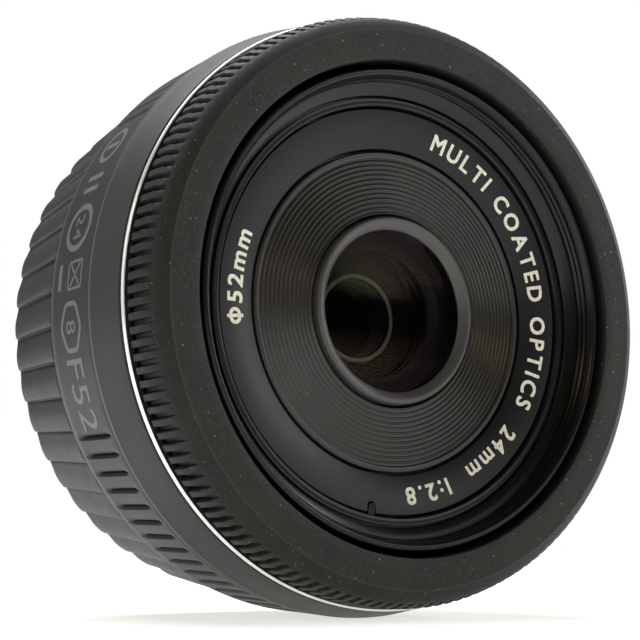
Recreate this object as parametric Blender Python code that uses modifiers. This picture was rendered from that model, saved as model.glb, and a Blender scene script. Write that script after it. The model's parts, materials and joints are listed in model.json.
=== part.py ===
"""Prime camera lens with its rear cap on, standing on its rim, optical axis level.

Metres, +Z up. The optical axis runs along Y and the front faces -Y. Sizes along the
axis are depths behind the focus ring's front face; sizes across it are radii.
"""
import math

import bmesh
import bpy
from mathutils import Matrix, Vector

MM = 0.001

# ---- overall ------------------------------------------------------------------
BARREL_R = 34.1 * MM          # widest circle of the barrel
FLANGE_DEPTH = 22.8 * MM      # front face to the bayonet's bearing face
CAP_LENGTH = 16.0 * MM        # rear cap behind the bearing face
GAP = 0.3 * MM                # kept between pieces that touch
SLIDE_GAP = 0.7 * MM          # kept between pieces that slide past each other
STEPS = 48                    # facets of the large round pieces
SMALL_STEPS = 24              # facets of the small round pieces

# ---- focus ring ---------------------------------------------------------------
RING_R = BARREL_R - 1.4 * MM  # over the ribs
RING_BORE_R = 27.4 * MM
RING_FACE_R = RING_R - 1.9 * MM   # outer edge of the flat front face
RING_BEVEL = 1.3 * MM
RING_LENGTH = 5.5 * MM
RING_LIP = 2.2 * MM           # thickness of the front wall
RING_WALL = 1.0 * MM
RIB_COUNT = 148
RIB_DEPTH = 0.5 * MM
RIB_START = 1.7 * MM
SKIRT_LENGTH = 2.8 * MM       # reach of the skirt under the barrel
COMB_TEETH = 24
COMB_WALL = 0.35 * MM
COMB_SLOT = (3.0 * MM, 2.2 * MM, 2.0 * MM)

# ---- trim ring and barrel -----------------------------------------------------
TRIM_R = BARREL_R - 0.9 * MM
TRIM_WIDTH = 0.6 * MM
SEAM_DEPTH = 11.9 * MM        # the widest circle, where the flare ends
BARREL_FRONT_R = BARREL_R - 0.85 * MM
BARREL_REAR_R = BARREL_R - 0.5 * MM
BARREL_WALL = 1.35 * MM
REAR_WALL = 1.1 * MM
GRIP_PITCH_COUNT = 96         # grooves there would be in a full turn
GRIP_DEPTH = 0.55 * MM
GRIP_START = 13.4 * MM
GRIP_STOP = 1.15 * MM         # smooth band between the grooves and the rear edge
PRINT_FROM = 141.0            # degrees round the axis: smooth field on the -X side
PRINT_TO = 204.0
SWITCH_HALF = 17.0            # degrees: smooth field round the switch on the +X side

# ---- mode switch --------------------------------------------------------------
POCKET_DEPTH = 1.6 * MM
POCKET_LONG = 8.4 * MM
POCKET_WIDE = 3.8 * MM
POCKET_MID = 16.4 * MM
KNOB_LONG = 2.4 * MM
KNOB_WIDE = 2.2 * MM
SWITCH_TRAVEL = 2.6 * MM
SWITCH_PLATE_THICK = 0.5 * MM
KNOB_BELOW_RIM = 0.05 * MM
SWITCH_ANGLE = 0.0

# ---- bayonet ------------------------------------------------------------------
FLANGE_R = BARREL_REAR_R - 1.2 * MM
FLANGE_THICK = 1.5 * MM
TUBE_R = 25.2 * MM
TUBE_WALL = 1.3 * MM
TUBE_REACH = 5.0 * MM         # behind the bearing face
LUG_R = TUBE_R + 1.7 * MM
LUG_NEAR = 2.8 * MM           # behind the bearing face
LUG_THICK = 1.3 * MM
LUG_ANGLE = 60.0
LUG_FIRST = 90.0              # degrees round the axis
SCREW_CIRCLE_R = LUG_R + 2.4 * MM
SCREW_FIRST = 45.0
SCREW_HEAD_R = 1.35 * MM
SCREW_HEAD_THICK = 0.35 * MM
SCREW_BELOW_FACE = 0.05 * MM
SCREW_R = 0.7 * MM
CONTACT_COUNT = 7
CONTACT_STEP = 8.0            # degrees from pin to pin
CONTACT_PIN_R = 0.75 * MM
CONTACT_ANGLE = 270.0
CONTACT_WIDTH = 62.0
CONTACT_HEIGHT = 3.6 * MM     # across the block, from the tube inwards
CONTACT_FRONT = 1.2 * MM      # behind the bearing face
CONTACT_PROUD = 0.4 * MM      # of the block behind the tube
PIN_PROUD = 0.35 * MM         # of the pins behind the block
BAFFLE_FRONT = 1.6 * MM       # behind the bearing face
BAFFLE_PROUD = 1.5 * MM       # behind the tube
BAFFLE_WALL = 0.9 * MM
BAFFLE_BOX_WALL = 1.0 * MM
BAFFLE_SETBACK = 5.4 * MM     # of the box inside the tube
GATE_SIZE = (22.0 * MM, 15.5 * MM, 4.0 * MM)

# ---- rear cap -----------------------------------------------------------------
CAP_RIM_R = BARREL_R - 0.8 * MM   # over the scallops at the open end
CAP_BACK_R = CAP_RIM_R - 2.1 * MM   # over the scallops at the closed end
CAP_BORE_R = LUG_R + SLIDE_GAP
CAP_FLOOR = 1.6 * MM
CAP_ROUND = 1.3 * MM
SCALLOP_COUNT = 52
SCALLOP_DEPTH = 0.75 * MM
TAB_ANGLE = 44.0
TAB_THICK = 1.1 * MM
TAB_GAP = 0.45 * MM           # between a tab and the bayonet tube
CAP_PAD_R = CAP_BORE_R - 2.6 * MM
CAP_PAD_WIDTH = 8.0 * MM
CAP_PAD_THICK = 0.6 * MM

# ---- focusing group -----------------------------------------------------------
FOCUS_TRAVEL = 5.0 * MM
CAM_TURN = 60.0               # degrees of cam ring for the whole travel
GROUP_R = RING_BORE_R - SLIDE_GAP
GROUP_WALL = 0.8 * MM
GROUP_FRONT = 0.7 * MM
GROUP_REAR = 12.6 * MM
THREAD_R = GROUP_R - 1.1 * MM   # M52 filter thread, minor radius
PLATE_DEPTH = 6.3 * MM
PLATE_THICK = 1.0 * MM
NAME_R = THREAD_R - 2.8 * MM
NAME_FRONT = 4.25 * MM
NAME_SLOPE = 0.8 * MM
NAME_INNER_R = NAME_R - 4.4 * MM
GROOVE_COUNT = 11
GROOVE_DEPTH = 0.25 * MM
BEZEL_R = 10.6 * MM
BEZEL_FRONT = 4.15 * MM
GLASS_R = 9.15 * MM
GLASS_EDGE = 0.25 * MM        # of the first element under the bezel's lip
NOTCH_ANGLE = 261.0
NOTCH_SIZE = (1.6 * MM, 0.9 * MM, 1.2 * MM)
CELL_R = 11.9 * MM
CELL_FLANGE = 1.4 * MM
CELL_FLANGE_THICK = 0.8 * MM
CELL_SEAT = 0.9 * MM          # width of the seats of the elements in their cells
CELL_SEAT_DEPTHS = (8.0 * MM, 8.2 * MM, 8.6 * MM, 8.9 * MM)
STOP_DEPTH = 13.0 * MM        # front of the diaphragm unit
STOP_R = 4.4 * MM             # full aperture at the blades
# depths of each element's front apex, front edge, back edge and back apex
LENS1_DEPTHS = (4.75 * MM, 5.5 * MM, 7.7 * MM, 6.1 * MM)
LENS2_DEPTHS = (8.75 * MM, 9.4 * MM, 10.4 * MM, 10.4 * MM)
LENS3_DEPTHS = (10.7 * MM, 10.7 * MM, 12.1 * MM, 11.7 * MM)
LENS23_R = 7.4 * MM
MID_R = 7.0 * MM              # elements 4 and 5
REAR_R = 9.8 * MM             # element 6
RETAINER_WIDTH = 0.8 * MM
RETAINER_THICK = 0.8 * MM
FOLLOWER_DEPTH = 11.2 * MM
FOLLOWER_R = 0.7 * MM
FOLLOWER_FIRST = 30.0
IRIS_MOTOR_R = 2.4 * MM
IRIS_MOTOR_CIRCLE_R = GROUP_R - 9.1 * MM
IRIS_MOTOR_ANGLE = 250.0

# ---- cam, guide and gears -----------------------------------------------------
CAM_WALL = 1.0 * MM
CAM_R = GROUP_R + 0.9 * MM    # inner radius of the cam ring
GUIDE_R = CAM_R + CAM_WALL + GAP
GUIDE_WALL = 0.8 * MM
GUIDE_FRONT = 3.0 * MM
GEAR_PLATE_THICK = 0.9 * MM
BOARD_THICK = 0.8 * MM
INNER_CLEAR_R = 13.2 * MM     # hole in the fixed plates for the rear cell
MODULE = 0.5 * MM
SECTOR_INSET = 0.6 * MM       # of the gear sector's pitch circle inside the cam ring
SECTOR_MARGIN = 12.0          # degrees of teeth beyond the cam ring's turn
IDLER_TEETH = 20
PINION_TEETH = 10
GEAR_FACE = 1.4 * MM
GEAR_SETBACK = 2.1 * MM       # of the gears in front of the gear plate
IDLER_BORE_R = 0.8 * MM
IDLER_SHAFT_R = 0.5 * MM
PINION_BORE_R = 0.75 * MM
MOTOR_SHAFT_R = 0.45 * MM
SENSOR_ANGLE = 100.0
SENSOR_LENGTH = 2.5 * MM
CHIP_SIZE = 5.0 * MM
CHIP_HEIGHT = 1.4 * MM
CHIP_SINK = 0.2 * MM
CHIP_CIRCLE_R = (INNER_CLEAR_R + LUG_R) / 2 - 0.05 * MM
CHIP_ANGLES = (100.0, 200.0, 330.0)
CAM_SLOT_R = 1.2 * MM
CAM_SLOT_SPARE = 0.06         # of the travel, at each end of a slot
IDLER_ANGLE = 60.0
MOTOR_R = 4.0 * MM
MOTOR_CIRCLE_R = 16.8 * MM
MOTOR_LENGTH = 6.4 * MM

# ---- diaphragm ----------------------------------------------------------------
BLADE_COUNT = 7
BLADE_PITCH = 0.2 * MM        # layer to layer
BLADE_THICK = 0.1 * MM
PIVOT_R = STOP_R + 3.0 * MM
PIVOT_EYE_R = 0.85 * MM
BLADE_TIP = 104.0             # degrees round the stop
PIN_ARM = 2.0 * MM
PIN_R = 0.32 * MM
PIN_LEAD = 12.0               # degrees of the pin's arm from the radial line
STOP_PLATE_R = 12.4 * MM
IRIS_PLATE = 0.6 * MM

# ---- values that follow from those above --------------------------------------
BACKLASH = 0.72               # a tooth's width as a share of half the pitch
LENGTH = FLANGE_DEPTH + CAP_LENGTH
CAP_FRONT = FLANGE_DEPTH + GAP
BARREL_FRONT = RING_LENGTH + GAP + TRIM_WIDTH + GAP
BARREL_REAR = CAP_FRONT - 0.35 * MM
FLANGE_FRONT = FLANGE_DEPTH - FLANGE_THICK
WALL_REAR = FLANGE_FRONT - GAP
WALL_FRONT = WALL_REAR - REAR_WALL
GRIP_END = BARREL_REAR - GRIP_STOP
GEAR_PLATE_DEPTH = WALL_FRONT - 1.6 * MM
GEAR_DEPTH = GEAR_PLATE_DEPTH - GEAR_SETBACK
SECTOR_TEETH = int((CAM_R - SECTOR_INSET) * 2 / MODULE + 0.01)   # of a full internal gear
CELL_BACK = FLANGE_DEPTH + BAFFLE_FRONT - 0.4 * MM
LENS6_DEPTHS = (
    CELL_BACK - 2.25 * MM, CELL_BACK - 2.4 * MM, CELL_BACK - 1.2 * MM, CELL_BACK - 0.8 * MM
)
RIB_END = RING_LENGTH - 0.1 * MM
BARREL_INNER_R = BARREL_FRONT_R - BARREL_WALL
SKIRT_R = BARREL_INNER_R - SLIDE_GAP
PIVOT_ANGLES = [360.0 * i / BLADE_COUNT for i in range(BLADE_COUNT)]
BLADE_FRONT = STOP_DEPTH + IRIS_PLATE + GAP
IRIS_RING_DEPTH = BLADE_FRONT + BLADE_COUNT * BLADE_PITCH + GAP
IRIS_RING_THICK = 0.4 * MM
IRIS_COVER_DEPTH = IRIS_RING_DEPTH + IRIS_RING_THICK + GAP
COVER_THICK = 0.3 * MM


def z_at(depth):
    """Height along the lens frame's own Z, which points forwards, of a depth."""
    return LENGTH / 2 - depth


for old in list(bpy.data.objects):
    bpy.data.objects.remove(old)

scene = bpy.context.scene
parts = bpy.data.collections.new("prime_camera_lens")
tools = bpy.data.collections.new("cutters")
scene.collection.children.link(parts)
scene.collection.children.link(tools)

lens_frame = bpy.data.objects.new("lens_frame", None)
lens_frame.location = (0, 0, BARREL_R)
lens_frame.rotation_euler = (math.pi / 2, 0, 0)
parts.objects.link(lens_frame)


def material(name, colour, roughness, metallic=0.0, transmission=0.0):
    mat = bpy.data.materials.new(name)
    mat.use_nodes = True
    bsdf = mat.node_tree.nodes["Principled BSDF"]
    bsdf.inputs["Base Color"].default_value = (*colour, 1.0)
    bsdf.inputs["Roughness"].default_value = roughness
    bsdf.inputs["Metallic"].default_value = metallic
    bsdf.inputs["Transmission Weight"].default_value = transmission
    mat.diffuse_color = (*colour, 1.0)
    return mat


RUBBER = material("ring_black", (0.035, 0.033, 0.03), 0.7)
BODY = material("barrel_grey", (0.07, 0.075, 0.073), 0.45)
CAPMAT = material("cap_grey", (0.09, 0.09, 0.088), 0.6)
SILVER = material("silver_trim", (0.8, 0.8, 0.78), 0.25, 1.0)
CHROME = material("mount_metal", (0.72, 0.72, 0.7), 0.3, 1.0)
SATIN = material("satin_black", (0.03, 0.03, 0.032), 0.4)
GLOSS = material("gloss_black", (0.015, 0.015, 0.016), 0.15)
GLASS = material("coated_glass", (0.05, 0.06, 0.06), 0.03, 0.0, 0.9)
GOLD = material("gold_contact", (0.85, 0.62, 0.25), 0.3, 1.0)
BOARD = material("green_board", (0.03, 0.16, 0.07), 0.5)
BRASS = material("brass_gear", (0.7, 0.52, 0.22), 0.35, 1.0)
POLYMER = material("white_polymer", (0.75, 0.75, 0.72), 0.5)
STEEL = material("blackened_steel", (0.06, 0.06, 0.065), 0.4, 1.0)
FELT = material("dark_felt", (0.02, 0.02, 0.02), 0.95)


def finish(obj, mat, angle=30.0):
    """Give a made mesh its material, smooth shading and place in the lens frame."""
    obj.data.materials.clear()
    obj.data.materials.append(mat)
    obj.data.shade_smooth()
    obj.data.set_sharp_from_angle(angle=math.radians(angle))
    obj.parent = lens_frame
    return obj


def turned(name, profile, mat=None, steps=STEPS, home=None, closed=True):
    """Screw a profile of (radius, depth) points round the optical axis.

    The points run backwards along the outside first, then forwards inside.
    """
    mesh = bpy.data.meshes.new(name)
    verts = [(r, 0.0, z_at(d)) for r, d in profile]
    edges = [(i, i + 1) for i in range(len(verts) - 1)]
    if closed:
        edges.append((len(verts) - 1, 0))
    mesh.from_pydata(verts, edges, [])
    obj = bpy.data.objects.new(name, mesh)
    (home or parts).objects.link(obj)
    screw = obj.modifiers.new("turn", "SCREW")
    screw.axis = "Z"
    screw.angle = 2 * math.pi
    screw.steps = steps
    screw.render_steps = steps
    screw.use_merge_vertices = True
    screw.merge_threshold = 0.000001
    if mat:
        finish(obj, mat)
    else:
        obj.parent = lens_frame
    return obj


def outline(name, loops, depth, thick, mat=None, home=None, centre=(0.0, 0.0)):
    """Extrude flat closed loops of (x, y); inner loops are holes. Front face at depth."""
    curve = bpy.data.curves.new(name + "_outline", "CURVE")
    curve.dimensions = "2D"
    curve.fill_mode = "BOTH"
    curve.extrude = thick / 2
    for loop in loops:
        spline = curve.splines.new("POLY")
        spline.points.add(len(loop) - 1)
        for point, (x, y) in zip(spline.points, loop):
            point.co = (x, y, 0.0, 1.0)
        spline.use_cyclic_u = True
    drawn = bpy.data.objects.new(name + "_outline", curve)
    (home or parts).objects.link(drawn)
    obj = meshed(drawn, name, home)
    obj.location = (centre[0], centre[1], z_at(depth + thick / 2))
    if mat:
        finish(obj, mat)
    else:
        obj.parent = lens_frame
    return obj


def meshed(drawn, name, home=None):
    """A curve as a welded mesh of its own; the curve goes."""
    bpy.context.view_layer.update()
    graph = bpy.context.evaluated_depsgraph_get()
    mesh = bpy.data.meshes.new_from_object(drawn.evaluated_get(graph))
    mesh.name = name
    work = bmesh.new()
    work.from_mesh(mesh)
    bmesh.ops.remove_doubles(work, verts=work.verts, dist=0.000001)
    bmesh.ops.recalc_face_normals(work, faces=work.faces)
    work.to_mesh(mesh)
    work.free()
    obj = bpy.data.objects.new(name, mesh)
    obj.matrix_world = drawn.matrix_world
    (home or parts).objects.link(obj)
    curve = drawn.data
    bpy.data.objects.remove(drawn)
    bpy.data.curves.remove(curve)
    return obj


def sector(name, r0, r1, depth0, depth1, mid, width, mat=None, steps=8, home=None):
    """A piece of a ring: a rectangle spun part of the way round the axis."""
    work = bmesh.new()
    start = math.radians(mid - width / 2)
    corners = [(r0, depth0), (r1, depth0), (r1, depth1), (r0, depth1)]
    verts = [
        work.verts.new((r * math.cos(start), r * math.sin(start), z_at(d))) for r, d in corners
    ]
    face = work.faces.new(verts)
    bmesh.ops.spin(
        work,
        geom=[face, *face.edges, *face.verts],
        cent=(0, 0, 0),
        axis=(0, 0, 1),
        angle=math.radians(width),
        steps=steps,
    )
    bmesh.ops.recalc_face_normals(work, faces=work.faces)
    mesh = bpy.data.meshes.new(name)
    work.to_mesh(mesh)
    work.free()
    obj = bpy.data.objects.new(name, mesh)
    (home or parts).objects.link(obj)
    if mat:
        finish(obj, mat)
    else:
        obj.parent = lens_frame
    return obj


def block(name, size, place, turn=0.0, mat=None, home=None):
    """A box of (x, y, depth) size centred at (x, y, depth), turned about the axis."""
    work = bmesh.new()
    bmesh.ops.create_cube(work, size=1.0)
    bmesh.ops.scale(work, vec=size, verts=work.verts)
    mesh = bpy.data.meshes.new(name)
    work.to_mesh(mesh)
    work.free()
    obj = bpy.data.objects.new(name, mesh)
    (home or parts).objects.link(obj)
    spin = Matrix.Rotation(math.radians(turn), 4, "Z")
    obj.location = spin @ Vector((place[0], place[1], z_at(place[2])))
    obj.rotation_euler = (0, 0, math.radians(turn))
    if mat:
        finish(obj, mat)
    else:
        obj.parent = lens_frame
    return obj


def rod(name, radius, depth0, depth1, centre, mat=None, steps=16, home=None, tip_r=None):
    """A cylinder or cone along the optical axis between two depths."""
    work = bmesh.new()
    bmesh.ops.create_cone(
        work,
        cap_ends=True,
        segments=steps,
        radius1=radius,
        radius2=radius if tip_r is None else tip_r,
        depth=depth1 - depth0,
    )
    mesh = bpy.data.meshes.new(name)
    work.to_mesh(mesh)
    work.free()
    obj = bpy.data.objects.new(name, mesh)
    (home or parts).objects.link(obj)
    obj.location = (centre[0], centre[1], z_at((depth0 + depth1) / 2))
    if mat:
        finish(obj, mat)
    else:
        obj.parent = lens_frame
    return obj


def spoke(name, radius, r0, r1, depth, angle, mat=None, steps=16, home=None):
    """A cylinder standing out along a radius."""
    work = bmesh.new()
    bmesh.ops.create_cone(
        work, cap_ends=True, segments=steps, radius1=radius, radius2=radius, depth=r1 - r0
    )
    mesh = bpy.data.meshes.new(name)
    work.to_mesh(mesh)
    work.free()
    obj = bpy.data.objects.new(name, mesh)
    (home or parts).objects.link(obj)
    a = math.radians(angle)
    mid = (r0 + r1) / 2
    obj.location = (mid * math.cos(a), mid * math.sin(a), z_at(depth))
    obj.rotation_euler = (0, math.pi / 2, a)
    if mat:
        finish(obj, mat)
    else:
        obj.parent = lens_frame
    return obj


def cut(obj, tool, how="DIFFERENCE", solver="EXACT"):
    """A Boolean of a hidden tool on a piece."""
    tool.hide_render = True
    tool.display_type = "WIRE"
    mod = obj.modifiers.new("cut_" + tool.name[:40], "BOOLEAN")
    mod.operation = how
    mod.solver = solver
    mod.object = tool
    return obj


def circle(radius, count, start=0.0, centre=(0.0, 0.0)):
    """Points of a circle, counter-clockwise."""
    return [
        (
            centre[0] + radius * math.cos(start + 2 * math.pi * i / count),
            centre[1] + radius * math.sin(start + 2 * math.pi * i / count),
        )
        for i in range(count)
    ]


def polar(radius, degrees):
    a = math.radians(degrees)
    return (radius * math.cos(a), radius * math.sin(a))


# ---- focus ring ---------------------------------------------------------------
valley_r = RING_R - RIB_DEPTH
skirt_end = RING_LENGTH + SKIRT_LENGTH
focus_ring = turned(
    "focus_ring",
    [
        (RING_BORE_R, 0.0),
        (RING_FACE_R, 0.0),
        (valley_r - 0.05 * MM, RING_BEVEL),
        (valley_r - 0.05 * MM, RING_LENGTH),
        (SKIRT_R, RING_LENGTH),
        (SKIRT_R, skirt_end),
        (SKIRT_R - RING_WALL * 0.8, skirt_end),
        (SKIRT_R - RING_WALL * 0.8, RING_LIP),
        (RING_BORE_R, RING_LIP),
    ],
    RUBBER,
)
ribs = []
for i in range(RIB_COUNT):
    for part, radius in ((0.1, valley_r), (0.6, RING_R)):
        ribs.append(polar(radius, 360.0 * (i + part) / RIB_COUNT))
rib_band = outline(
    "rib_band",
    [ribs, circle(valley_r - 0.6 * MM, STEPS)],
    RIB_START,
    RIB_END - RIB_START,
    home=tools,
)
cut(focus_ring, rib_band, "UNION")

comb_r = SKIRT_R - RING_WALL * 0.8 - GAP
comb_front = RING_LENGTH + GAP + 0.1 * MM
encoder_comb = turned(
    "encoder_comb",
    [
        (comb_r, comb_front),
        (comb_r, skirt_end),
        (comb_r - COMB_WALL, skirt_end),
        (comb_r - COMB_WALL, comb_front),
    ],
    STEEL,
    steps=COMB_TEETH * 2,
)
for i in range(0, COMB_TEETH, 2):
    slot = block(
        "comb_slot_%d" % i,
        COMB_SLOT,
        (comb_r, 0.0, skirt_end),
        360.0 * (i + 0.5) / COMB_TEETH,
        home=tools,
    )
    cut(encoder_comb, slot)

# ---- trim ring ----------------------------------------------------------------
trim_front = RING_LENGTH + GAP
turned(
    "trim_ring",
    [
        (TRIM_R - 0.15 * MM, trim_front),
        (TRIM_R, trim_front + 0.15 * MM),
        (TRIM_R, trim_front + TRIM_WIDTH),
        (BARREL_INNER_R + GAP, trim_front + TRIM_WIDTH),
        (BARREL_INNER_R + GAP, trim_front),
    ],
    SILVER,
)

# ---- rear barrel --------------------------------------------------------------
rear_barrel = turned(
    "rear_barrel",
    [
        (BARREL_FRONT_R, BARREL_FRONT),
        (BARREL_R, SEAM_DEPTH),
        (BARREL_REAR_R, BARREL_REAR),
        (FLANGE_R + GAP, BARREL_REAR),
        (FLANGE_R + GAP, WALL_REAR),
        (CAP_BORE_R, WALL_REAR),
        (CAP_BORE_R, WALL_FRONT),
        (BARREL_INNER_R, WALL_FRONT),
        (BARREL_INNER_R, BARREL_FRONT),
    ],
    BODY,
)
grooves = []
pitch = 360.0 / GRIP_PITCH_COUNT
outside = BARREL_R + 0.6 * MM
floor_r = (BARREL_R + BARREL_REAR_R) / 2 - GRIP_DEPTH
for i in range(GRIP_PITCH_COUNT):
    angle = i * pitch
    off_switch = min(angle, 360.0 - angle) > SWITCH_HALF
    off_print = not (PRINT_FROM < angle + pitch and angle < PRINT_TO)
    if off_switch and off_print:
        grooves.append(polar(outside, angle + 0.25 * pitch))
        grooves.append(polar(floor_r, angle + 0.45 * pitch))
        grooves.append(polar(outside, angle + 1.05 * pitch))
    else:
        grooves.append(polar(outside, angle + 0.5 * pitch))
grip_tool = outline(
    "grip_tool",
    [circle(BARREL_R + 2 * MM, 48), grooves],
    GRIP_START,
    GRIP_END - GRIP_START,
    home=tools,
)
cut(rear_barrel, grip_tool)
pocket = block(
    "switch_pocket",
    (POCKET_DEPTH * 2, POCKET_LONG, POCKET_WIDE),
    (BARREL_R, 0.0, POCKET_MID),
    SWITCH_ANGLE,
    home=tools,
)
cut(rear_barrel, pocket)

# ---- mode switch --------------------------------------------------------------
pocket_floor = BARREL_R - POCKET_DEPTH
plate_thick = SWITCH_PLATE_THICK
block(
    "switch_plate",
    (plate_thick, POCKET_LONG - 2 * GAP, POCKET_WIDE - 2 * GAP),
    (pocket_floor + GAP + plate_thick / 2, 0.0, POCKET_MID),
    SWITCH_ANGLE,
    SATIN,
)
knob_floor = pocket_floor + plate_thick + 2 * GAP
knob_high = BARREL_R - knob_floor - KNOB_BELOW_RIM
knob = block(
    "mode_switch",
    (knob_high, KNOB_LONG, KNOB_WIDE),
    (knob_floor + knob_high / 2, SWITCH_TRAVEL / 2, POCKET_MID),
    SWITCH_ANGLE,
    SATIN,
)
knob_edge = knob.modifiers.new("edge", "BEVEL")
knob_edge.width = 0.12 * MM
knob_edge.segments = 1

# ---- bayonet mount ------------------------------------------------------------
tube_end = FLANGE_DEPTH + TUBE_REACH
bayonet = turned(
    "bayonet_mount",
    [
        (FLANGE_R, FLANGE_FRONT),
        (FLANGE_R, FLANGE_DEPTH),
        (TUBE_R, FLANGE_DEPTH),
        (TUBE_R, tube_end),
        (TUBE_R - TUBE_WALL, tube_end),
        (TUBE_R - TUBE_WALL, FLANGE_FRONT),
    ],
    CHROME,
)
lug_near = FLANGE_DEPTH + LUG_NEAR
for i in range(3):
    lug = sector(
        "lug_tool_%d" % (i + 1),
        TUBE_R - TUBE_WALL / 2,
        LUG_R,
        lug_near,
        lug_near + LUG_THICK,
        LUG_FIRST + 120.0 * i,
        LUG_ANGLE,
        steps=12,
        home=tools,
    )
    cut(bayonet, lug, "UNION")

# ---- mount screws -------------------------------------------------------------
head_back = FLANGE_DEPTH - SCREW_BELOW_FACE
head_front = head_back - SCREW_HEAD_THICK
for i in range(4):
    spot = polar(SCREW_CIRCLE_R, SCREW_FIRST + 90.0 * i)
    hole = rod(
        "screw_hole_%d" % (i + 1),
        SCREW_R + GAP,
        WALL_FRONT - 1 * MM,
        FLANGE_DEPTH + 1 * MM,
        spot,
        steps=12,
        home=tools,
    )
    cut(rear_barrel, hole)
    cut(bayonet, hole)
    seat = rod(
        "screw_seat_%d" % (i + 1),
        SCREW_HEAD_R + GAP,
        head_front - GAP,
        FLANGE_DEPTH + 1 * MM,
        spot,
        steps=12,
        home=tools,
    )
    cut(bayonet, seat)
    screw = turned(
        "mount_screw_%d" % (i + 1),
        [
            (0.0, head_back),
            (SCREW_HEAD_R, head_back),
            (SCREW_HEAD_R, head_front),
            (SCREW_R, head_front),
            (SCREW_R, WALL_FRONT + 0.1 * MM),
            (0.0, WALL_FRONT + 0.1 * MM),
        ][::-1],
        CHROME,
        steps=12,
        closed=False,
    )
    screw.location = (spot[0], spot[1], 0.0)

# ---- contacts -----------------------------------------------------------------
inner_r = TUBE_R - TUBE_WALL - GAP
contact_back = tube_end + CONTACT_PROUD
contact_block = sector(
    "contact_block", inner_r - CONTACT_HEIGHT, inner_r, FLANGE_DEPTH + CONTACT_FRONT,
    contact_back, CONTACT_ANGLE, CONTACT_WIDTH, SATIN, steps=12
)
pin_circle = inner_r - CONTACT_HEIGHT / 2
for i in range(CONTACT_COUNT):
    angle = CONTACT_ANGLE + (i - (CONTACT_COUNT - 1) / 2) * CONTACT_STEP
    spot = polar(pin_circle, angle)
    well = rod(
        "pin_well_%d" % (i + 1), CONTACT_PIN_R + GAP, contact_back - 1.3 * MM - GAP,
        contact_back + 1 * MM, spot, steps=12, home=tools
    )
    cut(contact_block, well)
    rod(
        "contact_pin_%d" % (i + 1), CONTACT_PIN_R, contact_back - 1.3 * MM,
        contact_back + PIN_PROUD, spot, GOLD, steps=12
    )

# ---- rear baffle --------------------------------------------------------------
baffle_front = FLANGE_DEPTH + BAFFLE_FRONT
baffle_back = tube_end + BAFFLE_PROUD
box_r = inner_r - BAFFLE_SETBACK
baffle = turned(
    "rear_baffle",
    [
        (0.0, baffle_back - BAFFLE_WALL),
        (box_r - BAFFLE_BOX_WALL, baffle_back - BAFFLE_WALL),
        (box_r - BAFFLE_BOX_WALL, baffle_front),
        (inner_r, baffle_front),
        (inner_r, baffle_front + BAFFLE_WALL),
        (box_r, baffle_front + BAFFLE_WALL),
        (box_r, baffle_back),
        (0.0, baffle_back),
    ],
    SATIN,
    steps=32,
    closed=False,
)
cut(baffle, block("film_gate", GATE_SIZE, (0, 0, baffle_back), home=tools))
cut(
    baffle,
    sector(
        "block_clearance", inner_r - CONTACT_HEIGHT - GAP, inner_r + 1 * MM, baffle_front - 1 * MM,
        contact_back + 1 * MM, CONTACT_ANGLE, CONTACT_WIDTH + 2.0, steps=12, home=tools
    ),
)

# ---- rear cap -----------------------------------------------------------------
cap_back = LENGTH
cap_floor = cap_back - CAP_FLOOR
slope = (CAP_RIM_R - CAP_BACK_R) / (cap_back - CAP_FRONT)


def cap_r(depth):
    """Radius over the scallops at a depth."""
    return CAP_RIM_R - slope * (depth - CAP_FRONT)


cap_body_drop = SCALLOP_DEPTH + 0.05 * MM
cap = turned(
    "rear_cap",
    [
        (0.0, cap_floor),
        (CAP_BORE_R - 0.4 * MM, cap_floor),
        (CAP_BORE_R, cap_floor - 0.5 * MM),
        (CAP_BORE_R, CAP_FRONT),
        (CAP_RIM_R - cap_body_drop, CAP_FRONT),
        (cap_r(cap_back - CAP_ROUND) - cap_body_drop, cap_back - CAP_ROUND),
        (cap_r(cap_back) - cap_body_drop - CAP_ROUND * 0.3, cap_back - CAP_ROUND * 0.3),
        (cap_r(cap_back) - cap_body_drop - CAP_ROUND, cap_back),
        (0.0, cap_back),
    ],
    CAPMAT,
    closed=False,
)
bumps = []
for i in range(SCALLOP_COUNT):
    for part, drop in ((0.0, 1.0), (0.34, 0.05), (0.68, 0.1)):
        bumps.append(polar(CAP_RIM_R - drop * SCALLOP_DEPTH, 360.0 * (i + part) / SCALLOP_COUNT))
band_front = CAP_FRONT + 0.2 * MM
band_back = cap_back - CAP_ROUND
scallops = outline(
    "scallop_band",
    [bumps, circle(CAP_BACK_R - cap_body_drop - 1.0 * MM, STEPS)],
    band_front,
    band_back - band_front,
    home=tools,
)
for vert in scallops.data.vertices:
    flat_r = math.hypot(vert.co.x, vert.co.y)
    if vert.co.z < 0 and flat_r > CAP_BACK_R - cap_body_drop - 0.5 * MM:
        squeeze = (flat_r - slope * (band_back - band_front)) / flat_r
        vert.co.x *= squeeze
        vert.co.y *= squeeze
cut(cap, scallops, "UNION", "MANIFOLD")
tab_back = lug_near - GAP
for i in range(3):
    tab = sector(
        "tab_tool_%d" % (i + 1),
        TUBE_R + TAB_GAP,
        CAP_BORE_R + 1.0 * MM,
        tab_back - TAB_THICK,
        tab_back,
        LUG_FIRST + LUG_ANGLE + 120.0 * i,
        TAB_ANGLE,
        steps=8,
        home=tools,
    )
    cut(cap, tab, "UNION")
turned(
    "cap_pad",
    [
        (CAP_PAD_R, cap_floor - GAP - CAP_PAD_THICK),
        (CAP_PAD_R, cap_floor - GAP),
        (CAP_PAD_R - CAP_PAD_WIDTH, cap_floor - GAP),
        (CAP_PAD_R - CAP_PAD_WIDTH, cap_floor - GAP - CAP_PAD_THICK),
    ],
    FELT,
    steps=SMALL_STEPS,
)

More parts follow.
